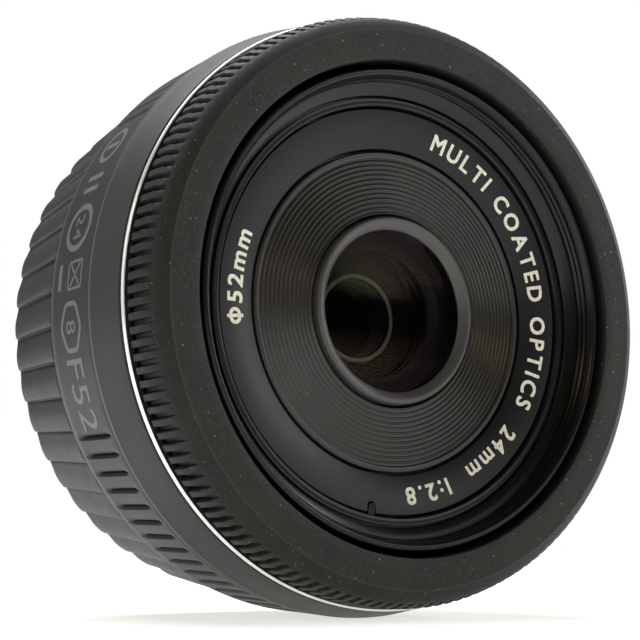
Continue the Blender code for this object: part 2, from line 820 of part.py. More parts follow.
# ---- guide tube, plates and board ---------------------------------------------
guide_end = GEAR_PLATE_DEPTH - GAP
guide = turned(
    "guide_tube",
    [
        (GUIDE_R + GUIDE_WALL, GUIDE_FRONT),
        (GUIDE_R + GUIDE_WALL, guide_end),
        (GUIDE_R, guide_end),
        (GUIDE_R, GUIDE_FRONT),
    ],
    SATIN,
)
cam_inner = CAM_R
cam_outer = CAM_R + CAM_WALL
cam_front = GUIDE_FRONT + 0.2 * MM
sector_pitch_r = MODULE * SECTOR_TEETH / 2
cam_end = guide_end - GAP
for i in range(3):
    angle = FOLLOWER_FIRST + 120.0 * i
    run = block(
        "guide_slot_%d" % (i + 1),
        (6 * MM, (FOLLOWER_R + GAP) * 2, FOCUS_TRAVEL + 2 * (FOLLOWER_R + GAP)),
        (GUIDE_R, 0.0, FOLLOWER_DEPTH - FOCUS_TRAVEL / 2),
        angle,
        home=tools,
    )
    cut(guide, run)
gear_plate = turned(
    "gear_plate",
    [
        (BARREL_INNER_R - GAP, GEAR_PLATE_DEPTH),
        (BARREL_INNER_R - GAP, GEAR_PLATE_DEPTH + GEAR_PLATE_THICK),
        (INNER_CLEAR_R, GEAR_PLATE_DEPTH + GEAR_PLATE_THICK),
        (INNER_CLEAR_R, GEAR_PLATE_DEPTH),
    ],
    STEEL,
)
board_front = GEAR_PLATE_DEPTH + GEAR_PLATE_THICK + GAP
board = turned(
    "main_board",
    [
        (CAP_BORE_R - GAP, board_front),
        (CAP_BORE_R - GAP, board_front + BOARD_THICK),
        (INNER_CLEAR_R, board_front + BOARD_THICK),
        (INNER_CLEAR_R, board_front),
    ],
    BOARD,
    steps=32,
)
for i, angle in enumerate(CHIP_ANGLES):
    chip = block(
        "chip_tool_%d" % (i + 1), (CHIP_SIZE, CHIP_SIZE, CHIP_HEIGHT),
        (CHIP_CIRCLE_R, 0.0, board_front + BOARD_THICK + CHIP_SINK), angle, home=tools
    )
    cut(board, chip, "UNION")

# ---- gears --------------------------------------------------------------------


def tooth_points(teeth, phase, inward=False):
    """The outline of a gear, four points a tooth, thinned for backlash."""
    pitch_r = MODULE * teeth / 2
    step = 2 * math.pi / teeth
    half = math.pi * MODULE / 4 * BACKLASH
    flank = math.tan(math.radians(24))
    tip = 0.75 * MODULE
    root = 0.95 * MODULE
    sign = -1 if inward else 1
    tip_r = pitch_r + sign * tip
    root_r = pitch_r - sign * root
    tip_half = (half - tip * flank) / tip_r
    root_half = (half + root * flank) / root_r
    points = []
    for i in range(teeth):
        mid = phase + i * step
        for radius, turn in (
            (root_r, -root_half), (tip_r, -tip_half), (tip_r, tip_half), (root_r, root_half)
        ):
            points.append((radius * math.cos(mid + turn), radius * math.sin(mid + turn)))
    return points


sector_phase = math.radians(IDLER_ANGLE)
idler_pitch_r = MODULE * IDLER_TEETH / 2
pinion_pitch_r = MODULE * PINION_TEETH / 2
idler_circle = sector_pitch_r - idler_pitch_r
idler_at = polar(idler_circle, IDLER_ANGLE)
idler_phase = math.radians(IDLER_ANGLE) + math.pi / IDLER_TEETH
reach = idler_pitch_r + pinion_pitch_r
swing = math.acos(
    (idler_circle**2 + MOTOR_CIRCLE_R**2 - reach**2) / (2 * idler_circle * MOTOR_CIRCLE_R)
)
motor_at = polar(MOTOR_CIRCLE_R, IDLER_ANGLE + math.degrees(swing))
towards = math.atan2(motor_at[1] - idler_at[1], motor_at[0] - idler_at[0])
share = (towards - idler_phase) * IDLER_TEETH / (2 * math.pi)
pinion_phase = towards + math.pi - (0.5 - share) * 2 * math.pi / PINION_TEETH

cam = turned(
    "cam_ring",
    [(cam_outer, cam_front), (cam_outer, cam_end), (cam_inner, cam_end), (cam_inner, cam_front)],
    BRASS,
)
teeth_from = IDLER_ANGLE - SECTOR_MARGIN
teeth_to = IDLER_ANGLE + CAM_TURN + SECTOR_MARGIN
inner_gear = tooth_points(SECTOR_TEETH, sector_phase, inward=True)
rack = []
for x, y in inner_gear:
    angle = math.degrees(math.atan2(y, x))
    if teeth_from < angle < teeth_to:
        rack.append((angle, x, y))
rack.sort()
arc = [(x, y) for _, x, y in rack]
back_arc = [
    polar(cam_inner + CAM_WALL / 2, teeth_to - (teeth_to - teeth_from) * i / 14) for i in range(15)
]
gear_sector = outline(
    "gear_sector", [arc + back_arc], GEAR_DEPTH - 0.1 * MM, GEAR_FACE + 0.2 * MM, home=tools
)
cut(cam, gear_sector, "UNION")
for i in range(3):
    start_angle = FOLLOWER_FIRST + 120.0 * i
    curve = bpy.data.curves.new("cam_path_%d" % (i + 1), "CURVE")
    curve.dimensions = "3D"
    curve.bevel_depth = CAM_SLOT_R
    curve.bevel_resolution = 1
    curve.use_fill_caps = True
    spline = curve.splines.new("POLY")
    count = 9
    spline.points.add(count - 1)
    for k, point in enumerate(spline.points):
        along = (1 + 2 * CAM_SLOT_SPARE) * k / (count - 1) - CAM_SLOT_SPARE
        a = math.radians(start_angle + CAM_TURN * along)
        depth = FOLLOWER_DEPTH - FOCUS_TRAVEL * along
        mid = cam_inner + CAM_WALL / 2
        point.co = (mid * math.cos(a), mid * math.sin(a), z_at(depth), 1.0)
    drawn = bpy.data.objects.new("cam_path_%d" % (i + 1), curve)
    tools.objects.link(drawn)
    path = meshed(drawn, "cam_slot_%d" % (i + 1), tools)
    path.parent = lens_frame
    cut(cam, path)

outline(
    "idler_gear",
    [tooth_points(IDLER_TEETH, idler_phase), circle(IDLER_BORE_R, 12)],
    GEAR_DEPTH,
    GEAR_FACE,
    POLYMER,
    centre=idler_at,
)
rod(
    "idler_shaft", IDLER_SHAFT_R, GEAR_DEPTH - 0.3 * MM, GEAR_PLATE_DEPTH - 0.1 * MM, idler_at,
    STEEL, steps=12
)
outline(
    "motor_pinion",
    [tooth_points(PINION_TEETH, pinion_phase), circle(PINION_BORE_R, 12)],
    GEAR_DEPTH,
    GEAR_FACE,
    BRASS,
    centre=motor_at,
)
motor_back = GEAR_DEPTH - 0.5 * MM
motor = rod("focus_motor", MOTOR_R, motor_back - MOTOR_LENGTH, motor_back, motor_at, CHROME, 28)
motor_pin = rod(
    "motor_pin_tool", MOTOR_SHAFT_R, motor_back - 0.5 * MM, GEAR_DEPTH + GEAR_FACE, motor_at,
    steps=12, home=tools
)
cut(motor, motor_pin, "UNION")

# ---- focus sensor and flexible strip ------------------------------------------
sensor_r = GUIDE_R + GUIDE_WALL + GAP
sensor_end = skirt_end + GAP + SENSOR_LENGTH
sector(
    "focus_sensor", sensor_r, BARREL_INNER_R - GAP, skirt_end + GAP, sensor_end, SENSOR_ANGLE,
    9.0, SATIN, steps=3
)
sector(
    "sensor_flex", sensor_r + 0.3 * MM, sensor_r + 0.6 * MM, sensor_end + GAP,
    GEAR_PLATE_DEPTH - GAP, SENSOR_ANGLE, 6.0, BRASS, steps=3
)

# ---- focusing barrel ----------------------------------------------------------
plate_back = PLATE_DEPTH + PLATE_THICK
group = turned(
    "focus_barrel",
    [
        (THREAD_R + 0.5 * MM, GROUP_FRONT),
        (GROUP_R - 0.2 * MM, GROUP_FRONT),
        (GROUP_R, GROUP_FRONT + 0.2 * MM),
        (GROUP_R, GROUP_REAR),
        (GROUP_R - GROUP_WALL, GROUP_REAR),
        (GROUP_R - GROUP_WALL, plate_back),
        (CELL_R + GAP, plate_back),
        (CELL_R + GAP, PLATE_DEPTH),
        (NAME_R + GAP, PLATE_DEPTH),
        (NAME_R + GAP, NAME_FRONT - 0.1 * MM),
        (NAME_R + 0.9 * MM, NAME_FRONT - 0.5 * MM),
        (THREAD_R - 0.3 * MM, NAME_FRONT - 0.9 * MM),
        (THREAD_R, NAME_FRONT - 1.1 * MM),
        (THREAD_R, GROUP_FRONT + 0.6 * MM),
    ],
    GLOSS,
)
for i in range(3):
    angle = FOLLOWER_FIRST + 120.0 * i
    spoke(
        "cam_follower_%d" % (i + 1), FOLLOWER_R, GROUP_R + GAP, GUIDE_R + GUIDE_WALL,
        FOLLOWER_DEPTH, angle, BRASS, 12
    )

# ---- name ring ----------------------------------------------------------------
back = PLATE_DEPTH - GAP
name_ring = turned(
    "name_ring",
    [
        (NAME_INNER_R, NAME_FRONT + NAME_SLOPE),
        (NAME_R, NAME_FRONT),
        (NAME_R, back),
        (NAME_INNER_R, back),
    ],
    SATIN,
)
notch = block(
    "name_notch", NOTCH_SIZE, (NAME_R - 0.2 * MM, 0.0, NAME_FRONT), NOTCH_ANGLE, home=tools
)
cut(name_ring, notch)

# ---- grooved ring -------------------------------------------------------------
groove_outer = NAME_INNER_R - GAP
groove_inner = BEZEL_R + GAP
face_outer = NAME_FRONT + NAME_SLOPE
face_inner = BEZEL_FRONT + 0.55 * MM
profile = []
for i in range(GROOVE_COUNT):
    for part, drop in ((0.0, 0.0), (0.5, GROOVE_DEPTH)):
        along = (i + part) / GROOVE_COUNT
        radius = groove_inner + (groove_outer - groove_inner) * along
        level = face_inner + (face_outer - face_inner) * along
        profile.append((radius, level + drop))
profile.append((groove_outer, face_outer))
turned("groove_ring", profile + [(groove_outer, back), (groove_inner, back)], SATIN, steps=32)

# ---- front bezel and cells ----------------------------------------------------
glass_edge_r = GLASS_R + GLASS_EDGE
turned(
    "front_bezel",
    [
        (BEZEL_R - 0.5 * MM, BEZEL_FRONT),
        (BEZEL_R, BEZEL_FRONT + 0.3 * MM),
        (BEZEL_R, back),
        (glass_edge_r + GAP, back),
        (glass_edge_r + GAP, BEZEL_FRONT + 0.95 * MM),
        (GLASS_R, BEZEL_FRONT + 0.75 * MM),
    ],
    SATIN,
    steps=32,
)
flange_back = plate_back + GAP + CELL_FLANGE_THICK
seat_front, seat_top, seat_back, bore_front = CELL_SEAT_DEPTHS
turned(
    "front_cell",
    [
        (CELL_R, PLATE_DEPTH),
        (CELL_R, plate_back + GAP),
        (CELL_R + CELL_FLANGE, plate_back + GAP),
        (CELL_R + CELL_FLANGE, flange_back),
        (CELL_R, flange_back),
        (CELL_R, STOP_DEPTH - GAP),
        (LENS23_R + GAP, STOP_DEPTH - GAP),
        (LENS23_R + GAP, bore_front),
        (LENS23_R - CELL_SEAT, seat_back),
        (LENS23_R - CELL_SEAT, seat_top),
        (glass_edge_r + GAP, seat_front),
        (glass_edge_r + GAP, PLATE_DEPTH),
    ],
    SATIN,
    steps=SMALL_STEPS,
)


def element(name, radius, front_apex, front_edge, back_edge, back_apex, rings=3):
    """A lens element: two spherical-looking faces of the given edge and axis depths."""
    face = []
    for i in range(rings + 1):
        r = radius * i / rings
        face.append((r, front_apex + (front_edge - front_apex) * (i / rings) ** 2))
    for i in range(rings, -1, -1):
        r = radius * i / rings
        face.append((r, back_apex + (back_edge - back_apex) * (i / rings) ** 2))
    return turned(name, face, GLASS, steps=SMALL_STEPS, closed=False)


element("lens_element_1", glass_edge_r, *LENS1_DEPTHS)
element("lens_element_2", LENS23_R, *LENS2_DEPTHS)
element("lens_element_3", LENS23_R, *LENS3_DEPTHS)

# ---- diaphragm unit -----------------------------------------------------------
hole_loops = [circle(STOP_PLATE_R, SMALL_STEPS), circle(STOP_R + 0.3 * MM, SMALL_STEPS)]
pivot_holes = []
for angle in PIVOT_ANGLES:
    pivot_holes.append(circle(PIN_R + 0.15 * MM, 10, centre=polar(PIVOT_R, angle)))
outline("iris_base", hole_loops + pivot_holes, STOP_DEPTH, IRIS_PLATE, SATIN)
outline("iris_cover", hole_loops, IRIS_COVER_DEPTH, COVER_THICK, SATIN)
arm_out = PIVOT_R + PIN_ARM * math.cos(math.radians(PIN_LEAD))
pin_side = PIN_ARM * math.sin(math.radians(PIN_LEAD))
pin_polar_r = math.hypot(arm_out, pin_side)
pin_polar_angle = -math.degrees(math.atan2(pin_side, arm_out))
slots = []
slot_half = PIN_R + 0.15 * MM
for angle in PIVOT_ANGLES:
    a = math.radians(angle + pin_polar_angle)
    loop = []
    for radial, side in ((-1.0, -1), (1.0, -1), (1.0, 1), (-1.0, 1)):
        r = pin_polar_r + radial * (PIN_R + 0.35 * MM)
        s = side * slot_half
        loop.append((r * math.cos(a) - s * math.sin(a), r * math.sin(a) + s * math.cos(a)))
    slots.append(loop)
outline(
    "iris_ring",
    [circle(pin_polar_r + 1.4 * MM, 48), circle(pin_polar_r - 1.3 * MM, 48)] + slots,
    IRIS_RING_DEPTH,
    IRIS_RING_THICK,
    STEEL,
)



def blade_outline():
    """A crescent round the stop from the pivot, in the pivot's own frame at angle 0."""
    points = []
    for i in range(7):
        points.append(polar(PIVOT_EYE_R, 180.0 + 26.0 + i * 24.0))
    widths = ((10, 3.6), (20, 3.15), (32, 2.55), (45, 2.15), (60, 1.9), (75, 1.7), (90, 1.4))
    for along, width in widths:
        x, y = polar(STOP_R + width * MM, along)
        points.append((x - PIVOT_R, y))
    for along in (BLADE_TIP, 92, 78, 64, 50, 36, 22, 10):
        x, y = polar(STOP_R + 0.1 * MM, along)
        points.append((x - PIVOT_R, y))
    return points


shape = blade_outline()
for i, angle in enumerate(PIVOT_ANGLES):
    layer = BLADE_FRONT + i * BLADE_PITCH
    centre = polar(PIVOT_R, angle)
    blade = outline("iris_blade_%d" % (i + 1), [shape], layer, BLADE_THICK, STEEL, centre=centre)
    blade.rotation_euler = (0, 0, math.radians(angle))
    stud = rod(
        "blade_stud_%d" % (i + 1), PIN_R, STOP_DEPTH + 0.15 * MM, layer + BLADE_THICK * 0.5, centre,
        steps=8, home=tools
    )
    cut(blade, stud, "UNION")
    arm_mid = polar(1.0, angle - PIN_LEAD)
    arm = block(
        "blade_arm_%d" % (i + 1), (PIN_ARM + 0.5 * MM, 0.9 * MM, BLADE_THICK * 0.8),
        (0.0, 0.0, layer + BLADE_THICK * 0.5), home=tools
    )
    arm.location = (
        centre[0] + arm_mid[0] * (PIN_ARM * 0.5 + 0.1 * MM),
        centre[1] + arm_mid[1] * (PIN_ARM * 0.5 + 0.1 * MM),
        z_at(layer + BLADE_THICK * 0.5),
    )
    arm.rotation_euler = (0, 0, math.radians(angle - PIN_LEAD))
    cut(blade, arm, "UNION")
    pin = rod(
        "blade_pin_%d" % (i + 1), PIN_R, layer + BLADE_THICK * 0.5,
        IRIS_RING_DEPTH + IRIS_RING_THICK * 0.8,
        (centre[0] + arm_mid[0] * PIN_ARM, centre[1] + arm_mid[1] * PIN_ARM), steps=8, home=tools
    )
    cut(blade, pin, "UNION")

rod(
    "iris_motor", IRIS_MOTOR_R, plate_back + GAP, GROUP_REAR - 2 * GAP,
    polar(IRIS_MOTOR_CIRCLE_R, IRIS_MOTOR_ANGLE), CHROME, 20
)

# ---- rear cell ----------------------------------------------------------------
cell_front = IRIS_COVER_DEPTH + COVER_THICK + GAP
rear_seat = CELL_BACK - 2.7 * MM
turned(
    "rear_cell",
    [
        (STOP_PLATE_R, cell_front),
        (STOP_PLATE_R, CELL_BACK),
        (REAR_R + GAP, CELL_BACK),
        (REAR_R + GAP, rear_seat),
        (MID_R + GAP, rear_seat - 0.4 * MM),
        (MID_R + GAP, cell_front + 0.7 * MM),
        (MID_R - 0.8 * MM, cell_front + 0.4 * MM),
        (MID_R - 0.8 * MM, cell_front),
    ],
    SATIN,
    steps=SMALL_STEPS,
)
first = cell_front + 0.9 * MM
second = first + 1.45 * MM
element("lens_element_4", MID_R, first + 0.35 * MM, first, first + 1.3 * MM, first + 1.0 * MM)
element(
    "lens_element_5", MID_R, second, second + 0.15 * MM, second + 1.05 * MM, second + 1.65 * MM
)
element("lens_element_6", REAR_R, *LENS6_DEPTHS, rings=4)
retainer_back = CELL_BACK - 0.1 * MM
turned(
    "rear_retainer",
    [
        (REAR_R, retainer_back - RETAINER_THICK),
        (REAR_R, retainer_back),
        (REAR_R - RETAINER_WIDTH, retainer_back),
        (REAR_R - RETAINER_WIDTH, retainer_back - RETAINER_THICK),
    ],
    GLOSS,
    steps=SMALL_STEPS,
)
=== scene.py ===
"""The looks of a prime camera lens with its rear cap on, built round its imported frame.

The optical axis is level. Every piece is turned or cut in the lens's own frame, where
x and y lie across the axis and z is minus the depth behind the focus ring's front face,
and is then put in its place in the row's frame.
"""
import json
import math

import bmesh
import bpy
from bpy.props import FloatProperty, FloatVectorProperty, IntProperty, PointerProperty, StringProperty
from mathutils import Matrix, Vector

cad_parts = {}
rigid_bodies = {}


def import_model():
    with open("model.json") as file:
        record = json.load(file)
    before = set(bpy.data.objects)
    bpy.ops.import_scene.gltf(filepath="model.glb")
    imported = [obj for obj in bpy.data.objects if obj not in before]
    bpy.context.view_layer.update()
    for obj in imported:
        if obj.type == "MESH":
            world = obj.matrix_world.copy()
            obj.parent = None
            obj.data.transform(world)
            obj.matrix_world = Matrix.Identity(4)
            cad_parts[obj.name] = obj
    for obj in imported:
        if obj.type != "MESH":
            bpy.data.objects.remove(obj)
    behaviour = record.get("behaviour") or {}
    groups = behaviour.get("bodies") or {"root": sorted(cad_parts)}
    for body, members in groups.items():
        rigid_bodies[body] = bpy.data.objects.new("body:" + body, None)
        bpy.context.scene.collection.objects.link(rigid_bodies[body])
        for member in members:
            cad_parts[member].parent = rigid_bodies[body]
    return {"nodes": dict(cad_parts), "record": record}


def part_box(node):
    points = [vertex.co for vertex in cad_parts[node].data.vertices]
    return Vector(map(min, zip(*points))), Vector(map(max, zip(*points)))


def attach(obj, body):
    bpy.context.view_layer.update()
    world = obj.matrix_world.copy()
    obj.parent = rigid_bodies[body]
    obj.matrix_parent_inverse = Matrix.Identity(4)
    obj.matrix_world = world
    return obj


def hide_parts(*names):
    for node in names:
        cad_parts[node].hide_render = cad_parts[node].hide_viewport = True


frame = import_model()

bl_info = {
    "name": "Prime Camera Lens",
    "version": (1, 0, 0),
    "blender": (4, 5, 0),
    "location": "View3D > Sidebar > Lens",
    "description": "Builds the visible pieces, finishes and studio of a prime camera lens",
    "category": "Object",
}

MM = 0.001
FULL_TURN = 2 * math.pi
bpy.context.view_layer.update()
RING_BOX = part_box("focus_ring")
BARREL_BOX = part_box("rear_barrel")
FRONT_Y = RING_BOX[0].y
AXIS_Z = (BARREL_BOX[0].z + BARREL_BOX[1].z) / 2
LENS = Matrix.Translation((0.0, FRONT_Y, AXIS_Z)) @ Matrix.Rotation(math.radians(90), 4, "X")


def outer_r(node):
    """The largest radius of a round CAD node about the optical axis."""
    low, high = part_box(node)
    return (high.x - low.x) / 2


def front_of(node):
    """Depth of a CAD node's foremost point behind the focus ring's front face."""
    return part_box(node)[0].y - FRONT_Y


def back_of(node):
    """Depth of a CAD node's rearmost point behind the focus ring's front face."""
    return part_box(node)[1].y - FRONT_Y


# ---- properties ---------------------------------------------------------------------


def length(name, description, value):
    """A property that holds a length."""
    return FloatProperty(
        name=name, description=description, default=value, min=0.0, unit="LENGTH", precision=5
    )


def colour(name, description, value):
    """A property that holds a colour."""
    return FloatVectorProperty(
        name=name, description=description, default=value, size=3, min=0.0, max=1.0, subtype="COLOR"
    )


def count(name, description, value):
    """A property that holds a number of like features."""
    return IntProperty(name=name, description=description, default=value, min=3)


class FocusRingSizes(bpy.types.PropertyGroup):
    """Focus ring and trim ring."""

    radius: length("Radius", "Over the ribs", outer_r("focus_ring"))
    bore: length("Bore", "Radius of the front opening", 27.4 * MM)
    face: length("Face", "Outer radius of the flat front face", 30.8 * MM)
    rib_depth: length("Rib depth", "From rib top to groove floor", 0.72 * MM)
    ribs: count("Ribs", "Ribs round the ring", 148)
    tint: colour("Ring colour", "Moulded ring", (0.0152, 0.0148, 0.0132))
    trim_tint: colour("Trim colour", "Bright ring behind the focus ring", (0.93, 0.94, 0.95))


class BarrelSizes(bpy.types.PropertyGroup):
    """Rear barrel with its grip, its marked field and its switch."""

    radius: length("Radius", "Widest circle", outer_r("rear_barrel"))
    front: length("Front radius", "At the front edge", 33.25 * MM)
    rear: length("Rear radius", "At the rear edge", 33.6 * MM)
    seam: length("Seam", "Depth of the widest circle", 11.9 * MM)
    groove_depth: length("Groove depth", "Of a grip groove at its middle", 0.78 * MM)
    grooves: count("Grooves", "Grip grooves there would be in a full turn", 96)
    tint: colour("Barrel colour", "Painted barrel", (0.036, 0.0392, 0.0374))
    print_tint: colour("Print colour", "Marks on the barrel", (0.125, 0.135, 0.128))


class CapSizes(bpy.types.PropertyGroup):
    """Rear cap."""

    rim: length("Rim radius", "Over the ridges at the open end", outer_r("rear_cap"))
    back: length("Back radius", "Over the ridges at the closed end", 31.2 * MM)
    bore: length("Bore", "Inside radius", 27.6 * MM)
    ridge_height: length("Ridge height", "From valley to ridge", 0.5 * MM)
    ridges: count("Ridges", "Ridges round the cap", 52)
    tint: colour("Cap colour", "Moulded cap", (0.042, 0.0438, 0.0424))


class FrontSizes(bpy.types.PropertyGroup):
    """Inner barrel, name ring, grooved ring, bezel and glass."""

    thread: length("Thread radius", "Minor radius of the filter thread", 25.6 * MM)
    thread_pitch: length("Thread pitch", "Of the filter thread", 0.75 * MM)
    grooves: count("Grooves", "Grooves of the grooved ring", 12)
    letter_height: length("Letter height", "Of the marks on the name ring", 1.95 * MM)
    marking: StringProperty(
        name="Marking", description="Generic words on the name ring",
        default="MULTI COATED OPTICS  24mm  1:2.8",
    )
    size_mark: StringProperty(
        name="Size mark", description="Filter size on the name ring", default="Φ52mm"
    )
    inner_tint: colour("Inner barrel colour", "Black anodised metal", (0.0045, 0.0045, 0.0046))
    ring_tint: colour("Name ring colour", "Satin plate", (0.0062, 0.007, 0.0074))
    groove_tint: colour("Grooved ring colour", "Satin black, a little warm", (0.0145, 0.0133, 0.0108))
    bezel_tint: colour("Bezel colour", "Satin ring round the glass", (0.05, 0.05, 0.048))
    mark_tint: colour("Mark colour", "Paint in the engraved marks", (0.78, 0.76, 0.62))


class MountSizes(bpy.types.PropertyGroup):
    """Bayonet, contacts and baffle under the cap."""

    flange: length("Flange radius", "Bearing face", outer_r("bayonet_mount"))
    tube: length("Tube radius", "Bayonet tube", 25.2 * MM)
    lug: length("Lug radius", "Over the lugs", 26.9 * MM)
    metal_tint: colour("Mount colour", "Plated metal", (0.66, 0.65, 0.62))


class StudioSizes(bpy.types.PropertyGroup):
    """Floor, lights and camera."""

    floor: length("Floor", "Radius of the round floor", 1.2)
    heading: FloatProperty(
        name="Heading", description="The camera's turn about the vertical",
        default=math.radians(-33.17), subtype="ANGLE",
    )
    pitch: FloatProperty(
        name="Pitch", description="How far the camera looks up", default=math.radians(7.68),
        subtype="ANGLE",
    )
    viewpoint: FloatVectorProperty(
        name="Viewpoint", description="The camera's place from the middle of the lens",
        default=(-0.10985, -0.16756, -0.02643), size=3, subtype="TRANSLATION",
    )
    focal: FloatProperty(
        name="Focal length", description="Of the camera, in millimetres", default=95.6, min=1.0
    )
    backdrop: colour("Backdrop", "Plain background", (1.0, 1.0, 1.0))


# ---- shader maths -------------------------------------------------------------------


class Value:
    """A shader socket that takes part in ordinary arithmetic."""

    def __init__(self, finish, socket):
        self.finish = finish
        self.socket = socket

    def __add__(self, other):
        return self.finish.math("ADD", self, other)

    def __sub__(self, other):
        return self.finish.math("SUBTRACT", self, other)

    def __rsub__(self, other):
        return self.finish.math("SUBTRACT", other, self)

    def __mul__(self, other):
        return self.finish.math("MULTIPLY", self, other)

    def __truediv__(self, other):
        return self.finish.math("DIVIDE", self, other)

    def __gt__(self, other):
        return self.finish.math("GREATER_THAN", self, other)

    def __lt__(self, other):
        return self.finish.math("LESS_THAN", self, other)

    __radd__ = __add__
    __rmul__ = __mul__


class Finish:
    """A procedural material on one Principled shader."""

    def __init__(self, name, base, roughness, metallic=0.0, **fixed):
        self.material = bpy.data.materials.new(name)
        self.material.use_nodes = True
        self.tree = self.material.node_tree
        self.shader = self.tree.nodes["Principled BSDF"]
        self.base = (*base, 1.0)
        self.put("Base Color", self.base)
        self.put("Roughness", roughness)
        self.put("Metallic", metallic)
        for socket, value in fixed.items():
            self.put(socket.replace("_", " "), value)
        self.place = None

    def put(self, socket, value):
        """Set or link one of the shader's sockets."""
        self.feed(self.shader.inputs[socket], value)
        return self

    def feed(self, socket, value):
        """Set or link any socket."""
        if isinstance(value, Value):
            self.tree.links.new(value.socket, socket)
        else:
            socket.default_value = value

    def node(self, kind, settings, sockets, output=0):
        """Any node: its settings first, then what its sockets take."""
        made = self.tree.nodes.new(kind)
        for name, value in settings.items():
            setattr(made, name, value)
        for name, value in sockets.items():
            self.feed(made.inputs[name], value)
        return Value(self, made.outputs[output])

    def math(self, how, *terms):
        """Any operation of the Math node."""
        return self.node("ShaderNodeMath", {"operation": how}, dict(enumerate(terms)))

    def coords(self):
        """Object coordinates as one vector."""
        if self.place is None:
            self.place = self.node("ShaderNodeTexCoord", {}, {}, "Object")
        return self.place

    def about_axis(self):
        """Radius and angle about the optical axis, and depth behind the front face."""
        split = self.node("ShaderNodeSeparateXYZ", {}, {0: self.coords()}, "X")
        x = split
        y = Value(self, split.socket.node.outputs["Y"])
        z = Value(self, split.socket.node.outputs["Z"]) - AXIS_Z
        radius = self.math("SQRT", x * x + z * z)
        return radius, self.math("ARCTAN2", z, x), y - FRONT_Y

    def noise(self, scale, detail=3.0, roughness=0.5, vector=None):
        """Even noise of about 0 to 1; scale is in features to a metre."""
        return self.node(
            "ShaderNodeTexNoise", {},
            {
                "Vector": vector or self.coords(), "Scale": scale, "Detail": detail,
                "Roughness": roughness,
            },
            "Fac",
        )

    def stretched(self, across, round_axis, along):
        """Radius, angle and depth as a vector, each with its own scale."""
        radius, angle, depth = self.about_axis()
        return self.node(
            "ShaderNodeCombineXYZ", {},
            {"X": radius * across, "Y": angle * round_axis, "Z": depth * along},
        )

    def cells(self, scale, output="Distance"):
        """Distance to, or colour of, the nearest of many scattered points."""
        return self.node(
            "ShaderNodeTexVoronoi", {}, {"Vector": self.coords(), "Scale": scale}, output
        )

    def specks(self, scale, share, size):
        """Small dust specks: 1 on a speck, 0 between."""
        near = self.cells(scale)
        chosen = self.node("ShaderNodeSeparateColor", {}, {0: self.cells(scale, "Color")}, "Red")
        return (near < chosen * size) * (chosen > 1.0 - share)

    def ramp(self, value, low, high):
        """0 below low and 1 above high, smooth between."""
        return self.node(
            "ShaderNodeMapRange", {"interpolation_type": "SMOOTHSTEP"},
            {"Value": value, "From Min": low, "From Max": high},
        )

    def rim(self, depth, middle, half):
        """1 on a circle at a depth, fading to 0 at half its width to each side."""
        away = self.math("ABSOLUTE", depth - middle)
        return 1.0 - self.ramp(away, half * 0.4, half)

    def mix(self, factor, first, second):
        """A colour between two, by a factor."""
        made = self.tree.nodes.new("ShaderNodeMix")
        made.data_type = "RGBA"
        self.feed(made.inputs["Factor"], factor)
        self.feed(made.inputs[6], first)
        self.feed(made.inputs[7], second)
        return Value(self, made.outputs[2])

    def shade(self, amount):
        """The base colour made lighter or darker."""
        return tuple(min(1.0, c * amount) for c in self.base[:3]) + (1.0,)

    def bump(self, height, depth, strength=1.0):
        """Relief of a height of 0 to 1; depth is in metres."""
        relief = self.node(
            "ShaderNodeBump", {}, {"Height": height, "Strength": strength, "Distance": depth}
        )
        return self.put("Normal", relief)

    def mottle(self, scale, low, high):
        """Vary the base colour between two shades of itself."""
        cloud = self.ramp(self.noise(scale), 0.3, 0.7)
        self.colour = self.mix(cloud, self.shade(low), self.shade(high))
        return self.put("Base Color", self.colour)


FINISHES = {}


def finish(name):
    """The material of a named finish, made once."""
    if name not in FINISHES:
        FINISHES[name] = MAKERS[name](name)
    return FINISHES[name].material


def ring_plastic(name):
    """Matt moulded ring with a fine grain and specks of dust, a painted highlight on the face's outer
    edge and painted shade on the bevel, in the bore and in the rib grooves.
    """
    made = Finish(name, bpy.context.scene.lens_ring.tint, 0.6, Specular_IOR_Level=0.25)
    plain = made.mottle(220.0, 0.88, 1.15).colour
    fine = made.ramp(made.noise(4200.0, 3.0, 0.65), 0.42, 0.7)
    grained = made.mix(fine * 0.6, plain, made.shade(2.4))
    dust = made.specks(1300.0, 0.4, 0.12)
    patch = made.ramp(made.noise(130.0), 0.46, 0.62)
    fine_dust = made.specks(2600.0, 0.12, 0.2) * patch
    dusted = made.mix(dust * 0.5, grained, (0.42, 0.41, 0.38, 1.0))
    powdered = made.mix(fine_dust * 0.3, dusted, (0.3, 0.29, 0.27, 1.0))
    sizes = bpy.context.scene.lens_ring
    radius, _, depth = made.about_axis()
    # Painted highlight: a lighter line round the outer edge of the flat face.
    edge = made.rim(radius, sizes.face + 0.02 * MM, 0.12 * MM) * (depth < 0.2 * MM)
    edge_highlit = made.mix(edge * 0.5, powdered, made.shade(3.0))
    # Painted shade: the bevel, the bore and the floors of the rib grooves are darkened.
    bevel = (radius > sizes.face + 0.06 * MM) * (depth < 2.4 * MM)
    bore = (radius < sizes.bore + 0.05 * MM) * (depth > 0.5 * MM)
    valley = (radius > 31.6 * MM) * (radius < sizes.radius - 0.15 * MM) * (depth > 2.9 * MM)
    hollow_shade = made.math("MAXIMUM", bevel * 0.3, valley * 0.7)
    hollow_shaded = made.mix(hollow_shade, edge_highlit, made.shade(0.0))
    made.put("Base Color", made.mix(bore * 0.7, hollow_shaded, made.shade(0.0)))
    made.put("Roughness", made.noise(300.0) * 0.14 + 0.5)
    return made.bump(made.noise(4600.0, 4.0, 0.65), 0.05 * MM, 0.8)


